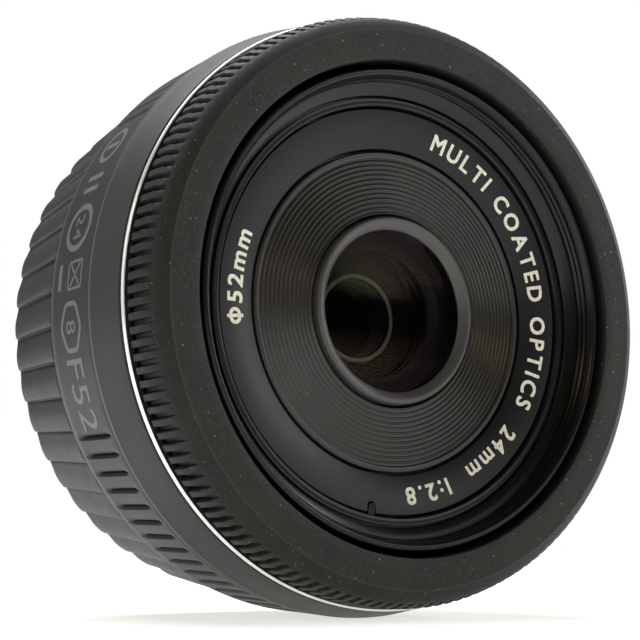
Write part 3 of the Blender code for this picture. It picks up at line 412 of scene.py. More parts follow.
def barrel_paint(name):
    """Satin paint with a fine texture, painted highlights on the seam circles and painted shade in the
    grip grooves.
    """
    made = Finish(name, bpy.context.scene.lens_barrel.tint, 0.46, Specular_IOR_Level=0.24)
    plain = made.mottle(160.0, 0.93, 1.08).colour
    sizes = bpy.context.scene.lens_barrel
    radius, _, depth = made.about_axis()
    # Painted highlight: light lines along the seam circles, a little uneven.
    front = made.rim(depth, sizes.seam, 0.32 * MM)
    rear = made.math("MAXIMUM", made.rim(depth, 21.8 * MM, 0.16 * MM),
                     made.rim(depth, 22.25 * MM, 0.16 * MM))
    seam_highlight = made.math("MAXIMUM", front, rear) * (made.noise(1500.0) * 0.3 + 0.75)
    outside = radius > sizes.front - 0.4 * MM
    seam_highlit = made.mix(seam_highlight * outside, plain, made.shade(3.2))
    # Painted shade: the grip grooves are darkened where they sink below the field.
    gripped = (depth > GRIP_FROM) * (depth < GRIP_TO)
    sunk_shade = made.ramp(field_r(depth) - radius, 0.34 * MM, 0.6 * MM) * gripped
    made.put("Base Color", made.mix(sunk_shade * 0.65, seam_highlit, made.shade(0.1)))
    made.put("Roughness", made.noise(500.0) * 0.12 + 0.42)
    return made.bump(made.noise(16000.0, 3.0), 0.012 * MM, 0.6)


def cap_plastic(name):
    """Matt moulded cap, a little blotchy, with handling scuffs and painted shade in the valleys between
    its ridges.
    """
    made = Finish(name, bpy.context.scene.lens_cap.tint, 0.55, Specular_IOR_Level=0.2)
    plain = made.mottle(140.0, 0.92, 1.08).colour
    scuff = made.ramp(made.noise(900.0, 5.0, 0.7), 0.62, 0.72)
    scuffed = made.mix(scuff * 0.25, plain, made.shade(1.8))
    sizes = bpy.context.scene.lens_cap
    front, back = front_of("rear_cap"), back_of("rear_cap")
    radius, _, depth = made.about_axis()
    surface = sizes.rim - (depth - front) * ((sizes.rim - sizes.back) / (back - front))
    # Painted shade: the valleys between the ridges are darkened, less towards the closed end.
    sunk_shade = made.ramp(surface - radius, sizes.ridge_height * 0.8, sizes.ridge_height * 1.08)
    fading = 1.0 - made.ramp(depth, front + 1.0 * MM, back - 3.0 * MM) * 0.6
    outside = (radius > 28.6 * MM) * (depth < back - 1.8 * MM)
    made.put("Base Color", made.mix(sunk_shade * fading * outside * 0.9, scuffed, made.shade(0.15)))
    made.put("Roughness", made.noise(420.0) * 0.14 + 0.46)
    return made.bump(made.noise(11000.0, 3.0), 0.02 * MM, 0.6)


def polished_trim(name):
    """Polished bright ring with faint turning lines; inside its outer edge it is painted near black as
    shade.
    """
    made = Finish(name, bpy.context.scene.lens_ring.trim_tint, 0.1, 0.4)
    lines = made.noise(1.0, 2.0, 0.5, made.stretched(30000.0, 3.0, 30000.0))
    made.put("Roughness", lines * 0.12 + 0.16)
    made.mottle(500.0, 0.95, 1.05)
    radius, _, _ = made.about_axis()
    # Painted shade: the trim's face inside its outer edge is painted near black.
    bright = radius > bpy.context.scene.lens_ring.radius + 0.3 * MM
    made.put("Metallic", bright * 0.4)
    return made.put("Base Color", made.mix(bright, made.shade(0.02), made.colour))


def inner_black(name):
    """Black anodised metal with turning lines that catch the light."""
    made = Finish(
        name, bpy.context.scene.lens_front.inner_tint, 0.3, Specular_IOR_Level=0.28
    )
    lines = made.noise(1.0, 3.0, 0.6, made.stretched(26000.0, 2.0, 26000.0))
    made.put("Roughness", lines * 0.2 + 0.16)
    made.mottle(300.0, 0.85, 1.2)
    return made.bump(lines, 0.01 * MM, 0.5)


def name_plate(name):
    """Satin plate with a fine even grain."""
    made = Finish(name, bpy.context.scene.lens_front.ring_tint, 0.38, Specular_IOR_Level=0.26)
    made.mottle(260.0, 0.93, 1.07)
    made.put("Roughness", made.noise(700.0) * 0.1 + 0.34)
    return made.bump(made.noise(15000.0, 2.0), 0.008 * MM, 0.5)


def grooved_black(name):
    """Satin black with turned sheen and dust in its grooves."""
    made = Finish(name, bpy.context.scene.lens_front.groove_tint, 0.34)
    lines = made.noise(1.0, 3.0, 0.6, made.stretched(20000.0, 1.5, 20000.0))
    plain = made.mottle(200.0, 0.8, 1.1).colour
    dust = made.specks(800.0, 0.05, 0.1)
    made.put("Base Color", made.mix(dust * 0.4, plain, (0.3, 0.29, 0.26, 1.0)))
    made.put("Roughness", lines * 0.16 + 0.26)
    return made.bump(lines, 0.008 * MM, 0.5)


def bezel_satin(name):
    """Smooth satin ring round the glass."""
    made = Finish(name, bpy.context.scene.lens_front.bezel_tint, 0.36)
    made.mottle(240.0, 0.92, 1.08)
    made.put("Roughness", made.noise(500.0) * 0.1 + 0.32)
    return made.bump(made.noise(14000.0, 2.0), 0.006 * MM, 0.5)


def mark_paint(name):
    """Paint in the engraved marks, a little uneven at its edges."""
    made = Finish(name, bpy.context.scene.lens_front.mark_tint, 0.55)
    made.mottle(2500.0, 0.82, 1.05)
    return made.bump(made.noise(9000.0), 0.01 * MM, 0.5)


def barrel_print(name):
    """Thin pale grey print."""
    made = Finish(name, bpy.context.scene.lens_barrel.print_tint, 0.5)
    return made.mottle(3000.0, 0.85, 1.1)


def coated_glass(name):
    """Clear glass with a reddish coating."""
    made = Finish(
        name, (0.93, 0.9, 0.9), 0.0, Transmission_Weight=1.0, IOR=1.09,
        Specular_Tint=(1.0, 0.55, 0.5, 1.0),
    )
    return made.mottle(300.0, 0.97, 1.0)


def inner_glass(name):
    """Clear glass with a greenish coating, for the elements behind the first."""
    made = Finish(
        name, (0.9, 0.92, 0.88), 0.0, Transmission_Weight=1.0, IOR=1.13,
        Specular_Tint=(0.75, 0.9, 0.45, 1.0),
    )
    return made.mottle(300.0, 0.97, 1.0)


def cell_black(name):
    """Matt black paint inside the cells."""
    made = Finish(name, (0.0045, 0.004, 0.0038), 0.55, Specular_IOR_Level=0.15)
    made.mottle(600.0, 0.8, 1.3)
    return made.bump(made.noise(9000.0), 0.01 * MM, 0.5)


def baffle_black(name):
    """Moulded black baffle with a fine spark-eroded texture."""
    made = Finish(name, (0.018, 0.018, 0.019), 0.6)
    made.mottle(300.0, 0.85, 1.2)
    return made.bump(made.noise(9000.0, 3.0), 0.03 * MM, 0.7)


def olive_metal(name):
    """Dull olive anodised metal."""
    made = Finish(name, (0.3, 0.31, 0.2), 0.4)
    made.mottle(800.0, 0.8, 1.15)
    return made.bump(made.noise(9000.0), 0.006 * MM, 0.4)


def satin_black(name):
    """Black satin moulding."""
    made = Finish(name, (0.02, 0.02, 0.021), 0.45)
    made.mottle(400.0, 0.85, 1.2)
    made.put("Roughness", made.noise(600.0) * 0.16 + 0.38)
    return made.bump(made.noise(12000.0, 3.0), 0.012 * MM, 0.5)


def mount_metal(name):
    """Plated metal, turned about the axis and worn by use."""
    made = Finish(name, bpy.context.scene.lens_mount.metal_tint, 0.28, 1.0)
    lines = made.noise(1.0, 4.0, 0.6, made.stretched(24000.0, 1.2, 24000.0))
    rubs = made.ramp(made.noise(1.0, 4.0, 0.6, made.stretched(3000.0, 9.0, 3000.0)), 0.55, 0.75)
    made.put("Base Color", made.mix(rubs * 0.5, made.shade(0.9), made.shade(1.2)))
    made.put("Roughness", lines * 0.18 + 0.2)
    return made.bump(lines, 0.01 * MM, 0.4)


def gold_plate(name):
    """Gold-plated contacts."""
    made = Finish(name, (0.83, 0.6, 0.24), 0.22, 1.0)
    made.mottle(3000.0, 0.85, 1.1)
    return made.put("Roughness", made.noise(4000.0) * 0.2 + 0.14)


def green_board(name):
    """Solder mask with copper tracks under it."""
    made = Finish(name, (0.018, 0.11, 0.045), 0.35)
    weave = made.cells(700.0)
    tracks = made.ramp(made.math("PINGPONG", weave * 6.0, 0.5), 0.2, 0.3)
    made.put("Base Color", made.mix(tracks, made.shade(0.7), made.shade(1.5)))
    return made.bump(tracks, 0.02 * MM, 0.5)


def brass_cut(name):
    """Cut brass with fine machining lines."""
    made = Finish(name, (0.72, 0.52, 0.2), 0.3, 1.0)
    lines = made.noise(1.0, 3.0, 0.6, made.stretched(15000.0, 40.0, 15000.0))
    made.put("Base Color", made.mix(lines, made.shade(0.75), made.shade(1.15)))
    made.put("Roughness", lines * 0.2 + 0.22)
    return made.bump(lines, 0.01 * MM, 0.4)


def white_polymer(name):
    """Off-white gear moulding."""
    made = Finish(name, (0.7, 0.69, 0.64), 0.42)
    made.mottle(900.0, 0.93, 1.04)
    return made.bump(made.noise(9000.0), 0.01 * MM, 0.4)


def blackened_steel(name):
    """Blackened sheet steel with rolling streaks."""
    made = Finish(name, (0.07, 0.07, 0.075), 0.42, 1.0)
    lines = made.noise(1.0, 3.0, 0.6, made.stretched(6000.0, 60.0, 9000.0))
    made.put("Base Color", made.mix(lines, made.shade(0.7), made.shade(1.5)))
    made.put("Roughness", lines * 0.2 + 0.32)
    return made.bump(lines, 0.008 * MM, 0.4)


def dark_felt(name):
    """Short black pile."""
    made = Finish(name, (0.014, 0.014, 0.015), 0.95, Sheen_Weight=0.3)
    fibres = made.noise(9000.0, 4.0, 0.7)
    made.put("Base Color", made.mix(fibres, made.shade(0.5), made.shade(2.0)))
    return made.bump(fibres, 0.08 * MM, 0.9)


def floor_white(name):
    """Plain white table that glows a little, so that it is lost in the backdrop; near the lens it glows
    less, as a painted contact shadow.
    """
    made = Finish(name, (0.62, 0.62, 0.62), 0.6, Emission_Strength=1.0)
    split = made.node("ShaderNodeSeparateXYZ", {}, {0: made.coords()}, "X")
    across = Value(made, split.socket.node.outputs["Y"])
    away = made.math("SQRT", split * split + across * across)
    # Painted shadow: the floor's light is dimmer near the lens.
    clear_of_shadow = made.ramp(away, 0.04, 0.2)
    made.put("Emission Color", made.mix(clear_of_shadow, (0.68, 0.67, 0.64, 1.0), (1.0, 1.0, 1.0, 1.0)))
    return made.mottle(30.0, 0.995, 1.0)


MAKERS = {
    maker.__name__: maker for maker in (
        ring_plastic, barrel_paint, cap_plastic, polished_trim, inner_black, name_plate,
        grooved_black, bezel_satin, mark_paint, barrel_print, coated_glass, inner_glass,
        cell_black, olive_metal, baffle_black, satin_black, mount_metal, gold_plate, green_board,
        brass_cut, white_polymer, blackened_steel, dark_felt, floor_white,
    )
}


# ---- shapes -------------------------------------------------------------------------

GRIP_FROM, GRIP_TO = 12.9 * MM, 21.5 * MM
FIELD_FRONT_R, FIELD_REAR_R = 34.04 * MM, 33.72 * MM
PRINT_FROM, PRINT_TO = 141.0, 204.0    # degrees of the smooth field that carries the marks
SWITCH_HALF = 17.0                     # degrees left smooth to each side of the switch
SAME_POINT = 0.0000005                 # closer points than this are merged


def field_r(depth):
    """Radius of the barrel's surface between its seams."""
    along = (depth - GRIP_FROM) / (GRIP_TO - GRIP_FROM)
    return FIELD_FRONT_R + (FIELD_REAR_R - FIELD_FRONT_R) * along


def turned(profile, columns, closed=True):
    """A bmesh turned from (radius, depth) points about the optical axis."""
    work = bmesh.new()
    points = [work.verts.new((r, 0.0, -depth)) for r, depth in profile]
    edges = [work.edges.new(pair) for pair in zip(points, points[1:])]
    if closed:
        edges.append(work.edges.new((points[-1], points[0])))
    bmesh.ops.spin(
        work, geom=points + edges, cent=(0, 0, 0), axis=(0, 0, 1), angle=FULL_TURN,
        steps=columns, use_merge=True,
    )
    bmesh.ops.remove_doubles(work, verts=work.verts, dist=SAME_POINT)
    bmesh.ops.recalc_face_normals(work, faces=work.faces)
    return work


def sector(inner, outer, front, back, middle, width, steps=24):
    """A bmesh of part of a ring; angles in degrees."""
    work = bmesh.new()
    start = math.radians(middle - width / 2)
    corners = [(inner, front), (outer, front), (outer, back), (inner, back)]
    verts = [work.verts.new((r * math.cos(start), r * math.sin(start), -d)) for r, d in corners]
    face = work.faces.new(verts)
    bmesh.ops.spin(
        work, geom=[face, *face.edges, *face.verts], cent=(0, 0, 0), axis=(0, 0, 1),
        angle=math.radians(width), steps=steps,
    )
    bmesh.ops.recalc_face_normals(work, faces=work.faces)
    return work


def moved(work, shift):
    """A bmesh shifted in the lens's frame."""
    bmesh.ops.translate(work, vec=shift, verts=work.verts)
    return work


def rounded(work, axis, width):
    """A box whose edges along one axis are rounded."""
    along = [
        e for e in work.edges
        if abs((e.verts[0].co - e.verts[1].co).normalized()[axis]) > 0.99
    ]
    bmesh.ops.bevel(
        work, geom=along, offset=width, segments=5, profile=0.5, affect="EDGES", material=-1,
    )
    return work


def rod(radius, front, back, segments=32):
    """A bmesh cylinder along the axis."""
    work = bmesh.new()
    bmesh.ops.create_cone(
        work, cap_ends=True, segments=segments, radius1=radius, radius2=radius,
        depth=back - front,
    )
    moved(work, (0, 0, -(front + back) / 2))
    return work


def brick(size, place, turn=0.0):
    """A bmesh box of (radial, round, along) size at (radius, side, depth), turned in degrees."""
    work = bmesh.new()
    bmesh.ops.create_cube(work, size=1.0)
    bmesh.ops.scale(work, vec=size, verts=work.verts)
    moved(work, (place[0], place[1], -place[2]))
    spin = Matrix.Rotation(math.radians(turn), 4, "Z")
    bmesh.ops.transform(work, matrix=spin, verts=work.verts)
    return work


def soften(work, width, segments=2, angle=40.0):
    """Bevel the edges that are sharper than an angle."""
    sharp = [
        e for e in work.edges
        if len(e.link_faces) == 2 and e.calc_face_angle(0.0) > math.radians(angle)
    ]
    bmesh.ops.bevel(
        work, geom=sharp, offset=width, segments=segments, profile=0.5, affect="EDGES",
        material=-1, clamp_overlap=True,
    )
    return work


def reshaped(work, columns, stations, move):
    """Shift the columns of a turned bmesh to a repeated set of angle stations.

    stations holds (share of the pitch, cut) for each column of one repeat. move takes a
    vertex's radius, depth, cut and cell number and gives its new radius.
    """
    each = len(stations)
    for vert in work.verts:
        radius = math.hypot(vert.co.x, vert.co.y)
        if radius < 0.00001:
            continue
        column = round(math.atan2(vert.co.y, vert.co.x) / FULL_TURN * columns) % columns
        cell, station = divmod(column, each)
        share, cut = stations[station]
        angle = FULL_TURN * (cell + share) * each / columns
        reach = move(radius, -vert.co.z, cut, cell)
        vert.co.x = reach * math.cos(angle)
        vert.co.y = reach * math.sin(angle)
    bmesh.ops.recalc_face_normals(work, faces=work.faces)
    return work


def placed(work, name, look, body, stands_for=(), sharp=35.0):
    """Finish a bmesh as a piece in its place, riding on its body."""
    mesh = bpy.data.meshes.new(name)
    work.to_mesh(mesh)
    work.free()
    mesh.transform(LENS)
    mesh.materials.append(finish(look))
    mesh.shade_smooth()
    mesh.set_sharp_from_angle(angle=math.radians(sharp))
    piece = bpy.data.objects.new(name, mesh)
    bpy.context.scene.collection.objects.link(piece)
    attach(piece, body)
    if stands_for:
        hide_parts(*stands_for)
    return piece


def carve(piece, work, how="DIFFERENCE"):
    """Cut or join a bmesh in the lens's frame on a piece, with nothing left live."""
    mesh = bpy.data.meshes.new("tool")
    work.to_mesh(mesh)
    work.free()
    mesh.transform(LENS)
    tool = bpy.data.objects.new("tool", mesh)
    bpy.context.scene.collection.objects.link(tool)
    change = piece.modifiers.new("carve", "BOOLEAN")
    change.operation = how
    change.solver = "EXACT"
    change.object = tool
    bpy.context.view_layer.update()
    graph = bpy.context.evaluated_depsgraph_get()
    shaped = bpy.data.meshes.new_from_object(piece.evaluated_get(graph))
    piece.modifiers.clear()
    old = piece.data
    shaped.name = old.name
    piece.data = shaped
    bpy.data.meshes.remove(old)
    bpy.data.objects.remove(tool)
    bpy.data.meshes.remove(mesh)
    piece.data.shade_smooth()
    piece.data.set_sharp_from_angle(angle=math.radians(35))
    return piece


def joined(works):
    """Several bmeshes as one."""
    whole = bmesh.new()
    for work in works:
        part = bpy.data.meshes.new("part")
        work.to_mesh(part)
        work.free()
        whole.from_mesh(part)
        bpy.data.meshes.remove(part)
    return whole


def flat_loop(sides, across, width, turn=0.0, squash=1.0):
    """A flat closed band of any number of sides, with rounded corners if few."""
    work = bmesh.new()
    bmesh.ops.create_circle(work, cap_ends=True, segments=sides, radius=across)
    spin = Matrix.Rotation(math.radians(turn), 3, "Z")
    bmesh.ops.rotate(work, cent=(0, 0, 0), matrix=spin, verts=work.verts)
    bmesh.ops.scale(work, vec=(1.0, squash, 1.0), verts=work.verts)
    if sides < 8:
        bmesh.ops.bevel(
            work, geom=list(work.verts), offset=across * 0.22, segments=4, profile=0.5,
            affect="VERTICES", material=-1,
        )
    inside = list(work.faces)
    bmesh.ops.inset_region(
        work, faces=inside, thickness=width, use_boundary=True, use_even_offset=True
    )
    bmesh.ops.delete(work, geom=inside, context="FACES")
    return work


def flat_bar(across, high):
    """A flat rectangle about the origin."""
    work = bmesh.new()
    corners = ((-1, -1), (1, -1), (1, 1), (-1, 1))
    work.faces.new([work.verts.new((x * across / 2, y * high / 2, 0)) for x, y in corners])
    return work


def raised(work, thick):
    """A flat shape given a thickness."""
    solid = bmesh.ops.extrude_face_region(work, geom=list(work.faces))
    lifted = [v for v in solid["geom"] if isinstance(v, bmesh.types.BMVert)]
    bmesh.ops.translate(work, vec=(0, 0, thick), verts=lifted)
    bmesh.ops.recalc_face_normals(work, faces=work.faces)
    return work


def diameter_sign(height):
    """A flat ring with an upright bar through it, standing on y = 0."""
    ring = flat_loop(40, height * 0.40, height * 0.115, squash=0.92)
    sign = joined([ring, flat_bar(height * 0.115, height * 1.02)])
    moved(sign, (0, height / 2, 0))
    return sign


def lettering(words, height, thick, bold=0.0, gap=0.17):
    """Letters as bmeshes in x and y, standing on y = 0, with each letter's middle x.

    A bold letter is four thin layers of the letter, each moved a little.
    """
    letters = []
    along = 0.0
    for letter in words:
        if letter == " ":
            along += height * (gap + 0.3)
            continue
        if letter == "Φ":
            work = diameter_sign(height)
        else:
            curve = bpy.data.curves.new("letter", "FONT")
            curve.body = letter
            curve.size = height / 0.72
            curve.resolution_u = 3
            drawn = bpy.data.objects.new("letter", curve)
            bpy.context.scene.collection.objects.link(drawn)
            bpy.context.view_layer.update()
            graph = bpy.context.evaluated_depsgraph_get()
            mesh = bpy.data.meshes.new_from_object(drawn.evaluated_get(graph))
            bpy.data.objects.remove(drawn)
            bpy.data.curves.remove(curve)
            work = bmesh.new()
            work.from_mesh(mesh)
            bpy.data.meshes.remove(mesh)
        bmesh.ops.remove_doubles(work, verts=work.verts, dist=SAME_POINT)
        low = min(v.co.x for v in work.verts)
        high = max(v.co.x for v in work.verts)
        moved(work, (-(low + high) / 2, 0, 0))
        if thick:
            raised(work, thick)
        if bold:
            layers = []
            for i, (x, y) in enumerate(((-1, -1), (1, -1), (-1, 1), (1, 1))):
                layer = work.copy()
                shift = (x * bold * height, y * bold * height, i * 0.0015 * MM)
                moved(layer, shift)
                layers.append(layer)
            work.free()
            work = joined(layers)
        letters.append((work, along + (high - low) / 2))
        along += high - low + height * gap
    return letters, along - height * gap


def written_round(words, radius, middle, height, thick, level, slope, gap):
    """Letters round a cone, tops outwards, reading clockwise from the front."""
    letters, width = lettering(words, height, thick, 0.03, gap)
    works = []
    for work, along in letters:
        turn = math.radians(middle) - (along - width / 2) / radius
        moved(work, (0, -height / 2, 0))
        lean = Matrix.Rotation(slope, 4, "X")
        stand = Matrix.Translation((0, radius, -level))
        spin = Matrix.Rotation(turn - math.pi / 2, 4, "Z")
        bmesh.ops.transform(work, matrix=spin @ stand @ lean, verts=work.verts)
        works.append(work)
    return joined(works)


# ---- pieces -------------------------------------------------------------------------


class LENS_OT_focus_ring(bpy.types.Operator):
    """Model the ribbed focus ring and the bright trim ring behind it"""

    bl_idname = "lens.focus_ring"
    bl_label = "Focus ring"

    def execute(self, context):
        sizes = context.scene.lens_ring
        top = sizes.radius + 0.2 * MM
        floor = top - sizes.rib_depth
        stop = back_of("focus_ring")
        rear = 5.5 * MM
        skirt = 31.2 * MM
        profile = [
            (sizes.bore, 2.2 * MM), (sizes.bore, 0.22 * MM), (sizes.bore + 0.07 * MM, 0.06 * MM),
            (sizes.bore + 0.22 * MM, 0.0), (sizes.bore + 1.2 * MM, 0.0),
            (sizes.face - 0.15 * MM, 0.0), (sizes.face - 0.01 * MM, 0.0),
            (sizes.face + 0.05 * MM, 0.035 * MM), (sizes.face + 0.16 * MM, 0.1 * MM),
            (31.35 * MM, 0.33 * MM), (31.8 * MM, 0.65 * MM), (32.12 * MM, 0.97 * MM),
            (32.32 * MM, 1.25 * MM), (32.44 * MM, 1.5 * MM), (32.53 * MM, 1.75 * MM),
            (32.6 * MM, 2.05 * MM), (32.65 * MM, 2.4 * MM), (top, 3.0 * MM), (top, 4.2 * MM),
            (top, rear - 0.2 * MM), (top - 0.06 * MM, rear - 0.06 * MM),
            (top - 0.2 * MM, rear), (31.9 * MM, rear), (skirt, rear),
            (skirt, stop), (skirt - 0.8 * MM, stop), (skirt - 0.8 * MM, 2.2 * MM),
        ]
        stations = [
            (0.03, 0.0), (0.25, 0.0), (0.46, 0.0), (0.51, 0.1), (0.56, 0.85), (0.60, 1.0),
            (0.90, 1.0), (0.94, 0.85), (0.985, 0.1),
        ]
        columns = sizes.ribs * len(stations)

        def groove(radius, depth, cut, cell):
            if radius < 31.95 * MM or depth < 1.1 * MM:
                return radius
            run_in = min(1.0, max(0.0, (depth - 1.2 * MM) / (0.3 * MM)))
            return radius - (radius - min(radius, floor)) * cut * math.sqrt(run_in)

        ring = reshaped(turned(profile, columns), columns, stations, groove)
        placed(
            ring, "focus_ring_shell", "ring_plastic", "focus_ring", ["focus_ring"],
            28.0,
        )
        front, back = front_of("trim_ring"), back_of("trim_ring")
        middle, half = (front + back) / 2, (back - front) / 2
        widest = outer_r("trim_ring")
        bead = [
            (widest - half * 0.7 * (1 - math.sin(a)), middle - half * math.cos(a))
            for a in (math.pi * i / 12 for i in range(13))
        ]
        inner = widest - 0.9 * MM
        trim = turned([(inner, front), *bead, (inner, back)], 256)
        placed(trim, "trim_bead", "polished_trim", "lens_body", ["trim_ring"])
        return {"FINISHED"}


class LENS_OT_rear_barrel(bpy.types.Operator):
    """Model the barrel with its flare, grip grooves, smooth fields and switch pocket"""

    bl_idname = "lens.rear_barrel"
    bl_label = "Rear barrel"

    def execute(self, context):
        sizes = context.scene.lens_barrel
        front, back = front_of("rear_barrel"), back_of("rear_barrel")
        start, end = GRIP_FROM, GRIP_TO
        field, field_end = FIELD_FRONT_R, FIELD_REAR_R
        rows = 16
        profile = [
            (32.2 * MM, front), (sizes.front - 0.14 * MM, front),
            (sizes.front - 0.03 * MM, front + 0.05 * MM), (sizes.front, front + 0.16 * MM),
            (33.55 * MM, front + 1.7 * MM), (33.83 * MM, front + 3.4 * MM),
            (sizes.radius - 0.09 * MM, sizes.seam - 0.55 * MM),
            (sizes.radius - 0.01 * MM, sizes.seam - 0.25 * MM),
            (sizes.radius, sizes.seam - 0.05 * MM),
            (sizes.radius - 0.1 * MM, sizes.seam + 0.16 * MM),
            (field - 0.04 * MM, sizes.seam + 0.34 * MM), (field, sizes.seam + 0.5 * MM),
        ]
        for i in range(rows + 1):
            along = i / rows
            profile.append((field_r(start + (end - start) * along), start + (end - start) * along))
        profile += [
            (field_end - 0.04 * MM, end + 0.12 * MM), (field_end - 0.1 * MM, end + 0.24 * MM),
            (sizes.rear - 0.03 * MM, end + 0.4 * MM), (sizes.rear - 0.03 * MM, back - 0.3 * MM),
            (sizes.rear - 0.12 * MM, back - 0.08 * MM), (sizes.rear - 0.3 * MM, back),
            (32.7 * MM, back), (32.7 * MM, 21.0 * MM), (27.6 * MM, 21.0 * MM),
            (27.6 * MM, 19.9 * MM), (31.9 * MM, 19.9 * MM), (31.9 * MM, front + 0.25 * MM),
        ]
        stations = [
            (0.03, 0.0), (0.22, 0.0), (0.40, 0.03), (0.54, 0.12), (0.65, 0.25), (0.735, 0.46),
            (0.775, 0.95), (0.80, 1.0), (0.84, 0.9), (0.88, 0.25), (0.945, 0.0),
        ]
        columns = sizes.grooves * len(stations)
        middle = (start + end) / 2
        half = (end - start) / 2 - 0.25 * MM
        pitch = 360.0 / sizes.grooves

        def groove(radius, depth, cut, cell):
            angle = (cell + 0.5) * pitch
            if not start < depth < end or radius < 33.0 * MM:
                return radius
            if PRINT_FROM < angle < PRINT_TO or min(angle, 360.0 - angle) < SWITCH_HALF:
                return radius
            plunge = min(1.0, max(0.0, (half - abs(depth - middle)) / (1.1 * MM)))
            return radius - sizes.groove_depth * cut * plunge

        shell = reshaped(turned(profile, columns), columns, stations, groove)
        barrel = placed(
            shell, "rear_barrel_shell", "barrel_paint", "lens_body",
            ["rear_barrel"], 30.0,
        )
        low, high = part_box("switch_plate")
        deep, room = 1.6 * MM, 0.6 * MM
        pocket = brick(
            (deep * 2, high.z - low.z + room, high.y - low.y + room),
            (sizes.radius, 0.0, (low.y + high.y) / 2 - FRONT_Y),
        )
        carve(barrel, rounded(pocket, 0, 0.7 * MM))
        return {"FINISHED"}


class LENS_OT_mode_switch(bpy.types.Operator):
    """Model the sliding mode switch and its plate"""

    bl_idname = "lens.mode_switch"
    bl_label = "Mode switch"

    def execute(self, context):
        low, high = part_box("switch_plate")
        middle = (low.y + high.y) / 2 - FRONT_Y
        plate = brick(
            (high.x - low.x, high.z - low.z, high.y - low.y), ((low.x + high.x) / 2, 0.0, middle)
        )
        placed(
            rounded(plate, 0, 0.5 * MM), "switch_plate_fine", "satin_black", "lens_body",
            ["switch_plate"],
        )
        low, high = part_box("mode_switch")
        size = high - low
        side = (low.z + high.z) / 2 - AXIS_Z
        base = brick((size.x * 0.5, size.z, size.y), (low.x + size.x * 0.25, side, middle))
        knob = [soften(base, 0.12 * MM, 3)]
        for i in range(4):
            place = side + (i - 1.5) * size.z / 4.4
            ridge = brick(
                (size.x * 0.56, size.z / 8, size.y * 0.82), (low.x + size.x * 0.7, place, middle)
            )
            knob.append(soften(ridge, 0.06 * MM, 2))
        placed(joined(knob), "mode_knob", "satin_black", "mode_switch",
               ["mode_switch"])
        return {"FINISHED"}


class LENS_OT_barrel_marks(bpy.types.Operator):
    """Print plain generic marks on the barrel's smooth field"""

    bl_idname = "lens.barrel_marks"
    bl_label = "Barrel marks"

    def execute(self, context):
        def words(text, high):
            letters, width = lettering(text, high, 0.0, gap=0.13)
            works = []
            for work, along in letters:
                moved(work, (along - width / 2, -high / 2, 0))
                works.append(work)
            return joined(works)

        def tilted(work, turn):
            spin = Matrix.Rotation(math.radians(turn), 3, "Z")
            bmesh.ops.rotate(work, cent=(0, 0, 0), matrix=spin, verts=work.verts)
            return work

        layout = (
            (148.8, 17.0 * MM, lambda: flat_loop(40, 2.4 * MM, 0.62 * MM, squash=1.05)),
            (148.8, 17.0 * MM, lambda: flat_bar(0.7 * MM, 3.0 * MM)),
            (156.0, 17.1 * MM, lambda: flat_bar(0.65 * MM, 3.8 * MM)),
            (158.6, 17.1 * MM, lambda: flat_bar(0.65 * MM, 3.8 * MM)),
            (166.4, 16.9 * MM, lambda: flat_loop(48, 2.75 * MM, 0.7 * MM, squash=1.15)),
            (166.4, 16.9 * MM, lambda: words("24", 2.1 * MM)),
            (175.6, 15.9 * MM, lambda: flat_loop(4, 2.3 * MM, 0.3 * MM, 45.0, 1.15)),
            (175.6, 15.9 * MM, lambda: tilted(flat_bar(3.4 * MM, 0.3 * MM), 45.0)),
            (175.6, 15.9 * MM, lambda: tilted(flat_bar(3.4 * MM, 0.3 * MM), -45.0)),
            (175.4, 19.9 * MM, lambda: flat_bar(2.9 * MM, 0.9 * MM)),
            (185.0, 16.8 * MM, lambda: flat_loop(6, 3.2 * MM, 0.5 * MM, 0.0, 0.9)),
            (185.0, 16.8 * MM, lambda: words("8", 2.4 * MM)),
            (197.6, 16.8 * MM, lambda: words("F52", 4.2 * MM)),
        )
        works = []
        for angle, depth, make in layout:
            work = make()
            low = min(v.co.x for v in work.verts)
            high = max(v.co.x for v in work.verts)
            slices = int((high - low) / (0.4 * MM))
            for i in range(1, slices):
                bmesh.ops.bisect_plane(
                    work, geom=[*work.verts, *work.edges, *work.faces],
                    plane_co=(low + (high - low) * i / slices, 0, 0), plane_no=(1, 0, 0),
                )
            raised(work, 0.03 * MM)
            for vert in work.verts:
                deep = depth - vert.co.y
                reach = field_r(deep) - 0.012 * MM + vert.co.z
                turn = math.radians(angle) + vert.co.x / reach
                vert.co = (reach * math.cos(turn), reach * math.sin(turn), -deep)
            bmesh.ops.recalc_face_normals(work, faces=work.faces)
            works.append(work)
        placed(joined(works), "barrel_prints", "barrel_print", "lens_body")
        return {"FINISHED"}


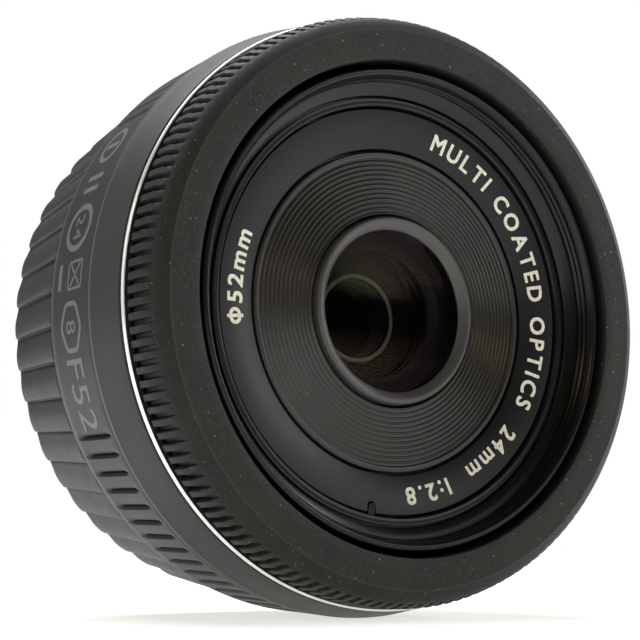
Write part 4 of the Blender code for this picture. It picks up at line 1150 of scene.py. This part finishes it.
class LENS_OT_rear_cap(bpy.types.Operator):
    """Model the ridged rear cap and its felt pad"""

    bl_idname = "lens.rear_cap"
    bl_label = "Rear cap"

    def execute(self, context):
        sizes = context.scene.lens_cap
        front, back = front_of("rear_cap"), back_of("rear_cap")
        floor = back - 1.6 * MM
        slope = (sizes.rim - sizes.back) / (back - front)
        rows = 8
        profile = [
            (0.0, floor), (sizes.bore - 0.5 * MM, floor), (sizes.bore - 0.15 * MM, floor - 0.15 * MM),
            (sizes.bore, floor - 0.5 * MM), (sizes.bore, front + 0.3 * MM),
            (sizes.bore + 0.3 * MM, front), (sizes.rim - 0.75 * MM, front),
            (sizes.rim - 0.5 * MM, front + 0.06 * MM), (sizes.rim - 0.36 * MM, front + 0.2 * MM),
            (sizes.rim - 0.35 * MM, front + 0.45 * MM),
        ]
        ridge_from, ridge_to = front + 0.75 * MM, back - 1.5 * MM
        for i in range(rows + 1):
            depth = ridge_from + (ridge_to - ridge_from) * i / rows
            profile.append((sizes.rim - slope * (depth - front), depth))
        edge = sizes.rim - slope * (back - 1.3 * MM - front)
        round_r = 1.3 * MM
        for i in range(1, 8):
            a = math.pi / 2 * i / 8
            profile.append(
                (edge - round_r * (1 - math.cos(a)), back - round_r + round_r * math.sin(a))
            )
        profile += [
            (edge - round_r - 0.1 * MM, back), (28.4 * MM, back), (28.2 * MM, back - 0.12 * MM),
            (27.9 * MM, back - 0.35 * MM), (27.6 * MM, back - 0.4 * MM),
            (25.2 * MM, back - 0.4 * MM), (24.9 * MM, back - 0.33 * MM),
            (24.7 * MM, back - 0.1 * MM), (24.4 * MM, back), (21.0 * MM, back),
            (20.8 * MM, back - 0.08 * MM), (20.6 * MM, back - 0.25 * MM),
            (20.3 * MM, back - 0.3 * MM), (0.0, back - 0.3 * MM),
        ]
        stations = [
            (0.01, 0.1), (0.08, 0.02), (0.16, 0.0), (0.26, 0.0), (0.36, 0.06), (0.44, 0.18),
            (0.485, 0.36), (0.505, 0.7), (0.52, 1.1), (0.55, 1.15), (0.585, 0.98), (0.66, 0.84),
            (0.76, 0.62), (0.86, 0.38), (0.95, 0.18),
        ]
        columns = sizes.ridges * len(stations)

        def ridge(radius, depth, cut, cell):
            if radius < 29.0 * MM or depth < front + 0.4 * MM:
                return radius
            fade = min(1.0, max(0.0, (back - 0.05 * MM - depth) / (1.4 * MM)))
            return radius - sizes.ridge_height * (0.05 + cut * fade + 0.55 * (1 - fade))

        shell = reshaped(turned(profile, columns, closed=False), columns, stations, ridge)
        cap = placed(
            shell, "rear_cap_shell", "cap_plastic", "rear_cap", ["rear_cap"], 32.0
        )
        lug_near = 25.6 * MM
        for i in range(3):
            tab = sector(
                25.65 * MM, sizes.bore + 0.6 * MM, lug_near - 1.4 * MM, lug_near - 0.3 * MM,
                150.0 + 120.0 * i, 44.0,
            )
            carve(cap, tab, "UNION")
        low, high = front_of("cap_pad"), back_of("cap_pad")
        wide = outer_r("cap_pad")
        pad = turned(
            [
                (wide, low + 0.1 * MM), (wide, high), (wide - 8 * MM, high),
                (wide - 8 * MM, low + 0.1 * MM), (wide - 7.9 * MM, low), (wide - 0.1 * MM, low),
            ],
            96,
        )
        placed(pad, "cap_pad_felt", "dark_felt", "cap_carrier", ["cap_pad"])
        return {"FINISHED"}


class LENS_OT_inner_barrel(bpy.types.Operator):
    """Model the moving inner barrel with its lip and filter thread"""

    bl_idname = "lens.inner_barrel"
    bl_label = "Inner barrel"

    def execute(self, context):
        sizes = context.scene.lens_front
        front, back = front_of("focus_barrel"), back_of("focus_barrel")
        wide = outer_r("focus_barrel")
        thread_from, thread_to = front + 0.75 * MM, 3.1 * MM
        rows = 40
        profile = [
            (sizes.thread + 0.18 * MM, front + 0.42 * MM),
            (sizes.thread + 0.32 * MM, front + 0.2 * MM), (sizes.thread + 0.45 * MM, front + 0.06 * MM),
            (sizes.thread + 0.55 * MM, front), (wide - 0.35 * MM, front),
            (wide - 0.16 * MM, front + 0.06 * MM), (wide - 0.04 * MM, front + 0.2 * MM),
            (wide, front + 0.4 * MM), (wide, back), (wide - 0.8 * MM, back),
            (wide - 0.8 * MM, 7.3 * MM), (12.2 * MM, 7.3 * MM), (12.2 * MM, 6.3 * MM),
            (23.02 * MM, 6.3 * MM), (23.02 * MM, 4.0 * MM), (23.1 * MM, 3.86 * MM),
            (23.22 * MM, 3.8 * MM), (23.8 * MM, 3.72 * MM), (23.9 * MM, 3.76 * MM),
            (23.94 * MM, 4.3 * MM), (24.12 * MM, 4.3 * MM), (24.16 * MM, 3.8 * MM),
            (24.22 * MM, 3.7 * MM), (25.1 * MM, 3.35 * MM),
        ]
        for i in range(rows + 1):
            profile.append((sizes.thread, thread_to + (thread_from - thread_to) * i / rows))
        columns = 288
        work = turned(profile, columns)
        for vert in work.verts:
            radius = math.hypot(vert.co.x, vert.co.y)
            depth = -vert.co.z
            if abs(radius - sizes.thread) > 0.01 * MM or not thread_from <= depth <= thread_to:
                continue
            turn = math.atan2(vert.co.y, vert.co.x) / FULL_TURN
            phase = (depth / sizes.thread_pitch + turn) % 1.0
            tooth = min(1.0, abs(phase - 0.5) * 2.6)
            ends = min(depth - thread_from, thread_to - depth) / (0.3 * MM)
            reach = radius - (1.0 - tooth) * min(1.0, ends) * 0.22 * MM
            vert.co.x *= reach / radius
            vert.co.y *= reach / radius
        bmesh.ops.recalc_face_normals(work, faces=work.faces)
        placed(
            work, "inner_barrel", "inner_black", "focus_group", ["focus_barrel"],
            40.0,
        )
        return {"FINISHED"}


class LENS_OT_name_ring(bpy.types.Operator):
    """Model the name ring, its notch and its generic painted marks"""

    bl_idname = "lens.name_ring"
    bl_label = "Name ring"

    def execute(self, context):
        sizes = context.scene.lens_front
        front, back = front_of("name_ring"), back_of("name_ring")
        wide = outer_r("name_ring")
        narrow = 18.4 * MM
        drop = 0.8 * MM
        slope = math.atan2(drop, wide - narrow)
        plate = turned(
            [
                (narrow, back), (narrow, front + drop + 0.08 * MM),
                (narrow + 0.08 * MM, front + drop), (wide - 0.08 * MM, front),
                (wide, front + 0.08 * MM), (wide, back),
            ],
            256,
        )
        ring = placed(plate, "name_plate", "name_plate", "focus_group",
                      ["name_ring"])
        notch_angle = 261.0
        cut = joined([
            brick((1.5 * MM, 1.1 * MM, 2.0 * MM), (wide, 0.0, front), notch_angle),
        ])
        end = rod(0.55 * MM, front - 1.0 * MM, front + 1.0 * MM)
        angle = math.radians(notch_angle)
        notch_r = wide - 0.75 * MM
        bmesh.ops.translate(
            end, vec=(notch_r * math.cos(angle), notch_r * math.sin(angle), 0), verts=end.verts
        )
        carve(ring, cut)
        carve(ring, end)
        tab = joined([
            brick((1.15 * MM, 0.84 * MM, 0.8 * MM), (wide - 0.08 * MM, 0.0, front + 0.42 * MM),
                  notch_angle),
        ])
        tip = rod(0.42 * MM, front + 0.02 * MM, front + 0.82 * MM)
        tip_r = wide - 0.66 * MM
        bmesh.ops.translate(
            tip, vec=(tip_r * math.cos(angle), tip_r * math.sin(angle), 0), verts=tip.verts
        )
        tongue = placed(tab, "notch_tongue", "inner_black", "focus_group")
        carve(tongue, tip, "UNION")

        middle_r = 20.75 * MM
        level = front + drop * (wide - middle_r) / (wide - narrow) - 0.012 * MM
        main = written_round(
            sizes.marking, middle_r, 354.3, sizes.letter_height, 0.03 * MM, level, slope, 0.36
        )
        placed(main, "name_marks", "mark_paint", "focus_group")
        small = written_round(
            sizes.size_mark, middle_r, 174.0, sizes.letter_height * 1.06, 0.03 * MM, level, slope, 0.3
        )
        placed(small, "size_marks", "mark_paint", "focus_group")
        return {"FINISHED"}


class LENS_OT_grooved_ring(bpy.types.Operator):
    """Model the dished ring of fine grooves and the satin bezel"""

    bl_idname = "lens.grooved_ring"
    bl_label = "Grooved ring and bezel"

    def execute(self, context):
        sizes = context.scene.lens_front
        back = back_of("groove_ring")
        outer = outer_r("groove_ring")
        inner = outer_r("front_bezel") + 0.3 * MM
        rim_level = 5.05 * MM
        inner_level = 4.7 * MM
        lip = 0.75 * MM
        profile = [
            (outer, back), (outer, rim_level + 0.25 * MM), (outer - 0.08 * MM, rim_level + 0.08 * MM),
            (outer - 0.25 * MM, rim_level), (outer - 0.5 * MM, rim_level + 0.02 * MM),
            (outer - lip, rim_level + 0.12 * MM),
        ]
        step = (outer - lip - inner) / sizes.grooves
        for i in range(sizes.grooves):
            radius = outer - lip - step * i
            along = i / sizes.grooves
            level = rim_level + (inner_level - rim_level) * along
            profile += [
                (radius - step * 0.08, level + 0.24 * MM), (radius - step * 0.52, level + 0.21 * MM),
                (radius - step * 0.66, level + 0.1 * MM), (radius - step * 0.74, level + 0.07 * MM),
                (radius - step * 0.82, level + 0.07 * MM), (radius - step * 0.9, level + 0.1 * MM),
            ]
        profile += [(inner, inner_level + 0.2 * MM), (inner, back)]
        placed(
            turned(profile, 256), "groove_plate", "grooved_black", "focus_group",
            ["groove_ring"], 50.0,
        )
        rim = outer_r("front_bezel")
        top = front_of("front_bezel")
        bezel = [
            (rim, back), (rim, top + 0.42 * MM), (rim - 0.05 * MM, top + 0.25 * MM),
            (rim - 0.16 * MM, top + 0.1 * MM), (rim - 0.34 * MM, top), (rim - 0.6 * MM, top + 0.04 * MM),
            (9.45 * MM, top + 0.56 * MM), (9.22 * MM, top + 0.68 * MM),
            (9.15 * MM, top + 0.8 * MM), (9.2 * MM, top + 0.92 * MM), (9.7 * MM, top + 0.95 * MM),
            (9.7 * MM, back),
        ]
        placed(
            turned(bezel, 256), "front_bezel_satin", "bezel_satin", "focus_group",
            ["front_bezel"], 45.0,
        )
        return {"FINISHED"}


class LENS_OT_glass(bpy.types.Operator):
    """Model the glass elements that can be seen and the cells that hold them"""

    bl_idname = "lens.glass"
    bl_label = "Glass and cells"

    def execute(self, context):
        def element(name, node, radius, apex, edge, back_edge, back_apex, look, rows=14):
            face = []
            for i in range(rows + 1):
                share = i / rows
                face.append((radius * share, apex + (edge - apex) * share**2))
            for i in range(rows, -1, -1):
                share = i / rows
                face.append((radius * share, back_apex + (back_edge - back_apex) * share**2))
            work = turned(face, 128, closed=False)
            placed(work, name, look, "focus_group", [node], 60.0)

        element("front_glass", "lens_element_1", 9.4 * MM, 4.75 * MM, 5.5 * MM, 7.7 * MM, 6.1 * MM,
                "coated_glass")
        element("second_glass", "lens_element_2", 7.4 * MM, 8.75 * MM, 9.4 * MM, 10.4 * MM,
                10.4 * MM, "inner_glass")
        element("third_glass", "lens_element_3", 7.4 * MM, 10.7 * MM, 10.7 * MM, 12.1 * MM,
                11.7 * MM, "inner_glass")
        front, back = front_of("front_cell"), back_of("front_cell")
        cell = turned(
            [
                (11.9 * MM, front), (11.9 * MM, 7.6 * MM), (13.3 * MM, 7.6 * MM),
                (13.3 * MM, 8.4 * MM), (11.9 * MM, 8.4 * MM), (11.9 * MM, back),
                (7.7 * MM, back), (7.7 * MM, 8.9 * MM), (7.25 * MM, 8.6 * MM),
                (7.15 * MM, 8.45 * MM), (7.25 * MM, 8.3 * MM), (7.5 * MM, 8.25 * MM),
                (8.2 * MM, 7.95 * MM), (8.3 * MM, 7.82 * MM), (8.5 * MM, 7.78 * MM),
                (9.7 * MM, 7.78 * MM), (9.7 * MM, front),
            ],
            192,
        )
        placed(cell, "front_cell_fine", "cell_black", "focus_group",
               ["front_cell"])
        stop = turned(
            [
                (12.4 * MM, 13.0 * MM), (12.4 * MM, 13.6 * MM), (4.7 * MM, 13.6 * MM),
                (4.62 * MM, 13.4 * MM), (5.5 * MM, 13.0 * MM),
            ],
            128,
        )
        placed(stop, "stop_plate", "cell_black", "focus_group", ["iris_base"])
        rim = [(4.75, 12.98), (4.65, 12.9), (4.65, 12.8), (4.75, 12.72), (5.0, 12.72), (5.15, 12.9)]
        ring = turned([(r * MM, depth * MM) for r, depth in rim], 128)
        placed(ring, "stop_rim", "olive_metal", "focus_group")
        return {"FINISHED"}


class LENS_OT_mount(bpy.types.Operator):
    """Model the bayonet, its screws, the contacts and the baffle"""

    bl_idname = "lens.mount"
    bl_label = "Bayonet mount"

    def execute(self, context):
        sizes = context.scene.lens_mount
        seat = 22.8 * MM
        rear = back_of("bayonet_mount")
        inner = sizes.tube - 1.3 * MM
        edge = 0.15 * MM
        bayonet = placed(
            turned(
                [
                    (sizes.flange, seat - 1.5 * MM), (sizes.flange, seat - edge),
                    (sizes.flange - edge, seat), (sizes.tube + 1.1 * MM, seat),
                    (sizes.tube + 1.0 * MM, seat + 0.12 * MM), (sizes.tube + 0.3 * MM, seat + 0.12 * MM),
                    (sizes.tube, seat + 0.4 * MM), (sizes.tube, rear - 0.3 * MM),
                    (sizes.tube - 0.3 * MM, rear), (inner + edge, rear), (inner, rear - edge),
                    (inner, seat - 1.5 * MM),
                ],
                256,
            ),
            "bayonet_plate", "mount_metal", "lens_body", ["bayonet_mount"], 30.0,
        )
        for angle in (90.0, 210.0, 330.0):
            lug = sector(
                sizes.tube - 0.5 * MM, sizes.lug, seat + 2.8 * MM, seat + 4.1 * MM, angle, 60.0
            )
            carve(bayonet, soften(lug, 0.12 * MM, 2), "UNION")
        for i in range(4):
            low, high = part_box("mount_screw_%d" % (i + 1))
            centre = ((low.x + high.x) / 2, (low.z + high.z) / 2 - AXIS_Z, 0)
            head_r = (high.x - low.x) / 2
            top = high.y - FRONT_Y
            well = rod(head_r + 0.25 * MM, top - 1.2 * MM, seat + 1.0 * MM, 40)
            moved(well, centre)
            carve(bayonet, well)
            head = soften(rod(head_r, top - 0.9 * MM, top, 40), 0.12 * MM, 3)
            moved(head, centre)
            screw = placed(
                head, "screw_%d_head" % (i + 1), "mount_metal", "lens_body",
                ["mount_screw_%d" % (i + 1)],
            )
            for turn in (20.0, 110.0):
                slot = brick((head_r * 1.2, head_r * 0.26, 0.9 * MM), (0, 0, top), turn)
                moved(slot, centre)
                carve(screw, slot)
        block_back = back_of("contact_block")
        body = sector(inner - 3.6 * MM, inner - 0.02 * MM, front_of("contact_block"), block_back,
                      270.0, 62.0)
        block = placed(
            soften(body, 0.3 * MM, 3), "contact_base", "satin_black", "lens_body",
            ["contact_block"],
        )
        pins = []
        for i in range(7):
            low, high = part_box("contact_pin_%d" % (i + 1))
            centre = ((low.x + high.x) / 2, (low.z + high.z) / 2 - AXIS_Z, 0)
            pin_r = (high.x - low.x) / 2
            well = rod(pin_r + 0.12 * MM, block_back - 0.5 * MM, block_back + 0.5 * MM, 32)
            moved(well, centre)
            carve(block, well)
            pin = soften(rod(pin_r, block_back - 0.7 * MM, high.y - FRONT_Y, 32), 0.25 * MM, 4)
            moved(pin, centre)
            pins.append(pin)
        front, back = front_of("rear_baffle"), back_of("rear_baffle")
        box_r = inner - 5.7 * MM
        wall = 0.9 * MM
        tray = turned(
            [
                (0.0, back - wall), (box_r - 1.0 * MM, back - wall), (box_r - 1.0 * MM, front),
                (inner - 0.3 * MM, front), (inner - 0.3 * MM, front + wall),
                (box_r + 0.15 * MM, front + wall), (box_r, front + wall + 0.15 * MM),
                (box_r, back - 0.25 * MM), (box_r - 0.25 * MM, back), (0.0, back),
            ],
            160, closed=False,
        )
        baffle = placed(
            tray, "film_gate_baffle", "baffle_black", "lens_body", ["rear_baffle"]
        )
        window = brick((22.0 * MM, 15.5 * MM, 4.0 * MM), (0, 0, back))
        corners = [e for e in window.edges if abs((e.verts[0].co - e.verts[1].co).z) > 2.0 * MM]
        bmesh.ops.bevel(
            window, geom=corners, offset=1.0 * MM, segments=6, profile=0.5, affect="EDGES",
            material=-1,
        )
        carve(baffle, window)
        room = sector(
            inner - 4.2 * MM, inner + 1.0 * MM, front - 1.0 * MM, block_back + 1.0 * MM, 270.0, 64.0
        )
        carve(baffle, room)
        placed(
            joined(pins), "contact_pins", "gold_plate", "lens_body",
            ["contact_pin_%d" % (i + 1) for i in range(7)],
        )
        return {"FINISHED"}


class LENS_OT_hidden_parts(bpy.types.Operator):
    """Give every carried-over part its finish"""

    bl_idname = "lens.hidden_parts"
    bl_label = "Finishes of the carried-over parts"

    def execute(self, context):
        looks = {
            "silver_trim": "polished_trim", "mount_metal": "mount_metal",
            "satin_black": "satin_black", "gloss_black": "inner_black",
            "coated_glass": "inner_glass", "gold_contact": "gold_plate",
            "green_board": "green_board", "brass_gear": "brass_cut",
            "white_polymer": "white_polymer", "blackened_steel": "blackened_steel",
            "dark_felt": "dark_felt", "ring_black": "ring_plastic",
            "barrel_grey": "barrel_paint", "cap_grey": "cap_plastic",
        }
        slots = {p["node"]: p["material_slot"] for p in frame["record"]["subparts"]}
        dark_inside = ("cam_ring", "guide_tube", "encoder_comb", "focus_barrel")
        for node, obj in frame["nodes"].items():
            look = "inner_black" if node in dark_inside else looks[slots[node]]
            obj.data.materials.clear()
            obj.data.materials.append(finish(look))
        return {"FINISHED"}


class LENS_OT_studio(bpy.types.Operator):
    """Lay the floor, hang the lights and set the camera"""

    bl_idname = "lens.studio"
    bl_label = "Studio"

    def execute(self, context):
        sizes = context.scene.lens_studio
        work = bmesh.new()
        bmesh.ops.create_circle(work, cap_ends=True, segments=96, radius=sizes.floor)
        mesh = bpy.data.meshes.new("floor")
        work.to_mesh(mesh)
        work.free()
        mesh.materials.append(finish("floor_white"))
        floor = bpy.data.objects.new("floor", mesh)
        context.scene.collection.objects.link(floor)

        middle = Vector((0.0, 0.0, AXIS_Z))
        lamps = (
            ("top_box", (0.0, 0.25, 0.7), (0.8, 0.6), 7.6, (1.0, 1.0, 1.0)),
            ("left_box", (-0.8, 0.2, 0.35), (0.6, 0.5), 1.5, (0.98, 1.0, 1.0)),
            ("right_box", (0.8, -0.05, 0.35), (0.6, 0.5), 4.0, (1.0, 0.99, 0.97)),
            ("warm_lamp", (-0.6, -0.5, 0.4), (0.08, 0.1), 0.6, (1.0, 0.72, 0.3)),
            ("front_fill", (0.55, -0.7, 0.45), (0.5, 0.4), 1.7, (1.0, 0.99, 0.97)),
        )
        for name, place, size, power, tone in lamps:
            light = bpy.data.lights.new(name, "AREA")
            light.shape = "RECTANGLE"
            light.size, light.size_y = size
            light.energy = power
            light.color = tone
            lamp = bpy.data.objects.new(name, light)
            lamp.location = place
            lamp.rotation_euler = (middle - lamp.location).to_track_quat("-Z", "Y").to_euler()
            context.scene.collection.objects.link(lamp)

        world = bpy.data.worlds.new("studio")
        world.use_nodes = True
        context.scene.world = world
        tree = world.node_tree
        ground = tree.nodes["Background"]
        ground.inputs["Color"].default_value = (0.5, 0.5, 0.5, 1.0)
        ground.inputs["Strength"].default_value = 0.12
        seen = tree.nodes.new("ShaderNodeBackground")
        seen.inputs["Color"].default_value = (*sizes.backdrop, 1.0)
        seen.inputs["Strength"].default_value = 1.0
        path = tree.nodes.new("ShaderNodeLightPath")
        choose = tree.nodes.new("ShaderNodeMixShader")
        tree.links.new(path.outputs["Is Camera Ray"], choose.inputs["Fac"])
        tree.links.new(ground.outputs[0], choose.inputs[1])
        tree.links.new(seen.outputs[0], choose.inputs[2])
        tree.links.new(choose.outputs[0], tree.nodes["World Output"].inputs["Surface"])
        context.scene.view_settings.view_transform = "Standard"

        camera = bpy.data.cameras.new("camera")
        camera.lens = sizes.focal
        camera.sensor_width = 36.0
        camera.clip_start = 0.01
        eye = bpy.data.objects.new("camera", camera)
        eye.location = middle + Vector(sizes.viewpoint)
        eye.rotation_euler = (math.pi / 2 + sizes.pitch, 0.0, sizes.heading)
        context.scene.collection.objects.link(eye)
        context.scene.camera = eye
        return {"FINISHED"}


class LENS_PT_panel(bpy.types.Panel):
    """Sizes, colours and steps of the lens"""

    bl_idname = "LENS_PT_panel"
    bl_label = "Prime Camera Lens"
    bl_space_type = "VIEW_3D"
    bl_region_type = "UI"
    bl_category = "Lens"

    def draw(self, context):
        for name, group in SETTINGS.items():
            box = self.layout.box()
            sizes = getattr(context.scene, name)
            for prop in group.__annotations__:
                box.prop(sizes, prop)
        for operator in OPERATORS:
            self.layout.operator(operator.bl_idname)


SETTINGS = {
    "lens_ring": FocusRingSizes,
    "lens_barrel": BarrelSizes,
    "lens_cap": CapSizes,
    "lens_front": FrontSizes,
    "lens_mount": MountSizes,
    "lens_studio": StudioSizes,
}
OPERATORS = (
    LENS_OT_studio,
    LENS_OT_hidden_parts,
    LENS_OT_focus_ring,
    LENS_OT_rear_barrel,
    LENS_OT_mode_switch,
    LENS_OT_barrel_marks,
    LENS_OT_rear_cap,
    LENS_OT_inner_barrel,
    LENS_OT_name_ring,
    LENS_OT_grooved_ring,
    LENS_OT_glass,
    LENS_OT_mount,
)


def register():
    for cls in (*SETTINGS.values(), *OPERATORS, LENS_PT_panel):
        bpy.utils.register_class(cls)
    for name, group in SETTINGS.items():
        setattr(bpy.types.Scene, name, PointerProperty(type=group))


def unregister():
    for name in SETTINGS:
        delattr(bpy.types.Scene, name)
    for cls in (LENS_PT_panel, *reversed(OPERATORS), *SETTINGS.values()):
        bpy.utils.unregister_class(cls)


def main():
    register()
    for old in [o for o in bpy.context.scene.objects if o.name in ("Cube", "Light", "Camera")]:
        bpy.data.objects.remove(old)
    for operator in OPERATORS:
        group, name = operator.bl_idname.split(".")
        getattr(getattr(bpy.ops, group), name)()
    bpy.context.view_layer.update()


if __name__ == "__main__":
    main()
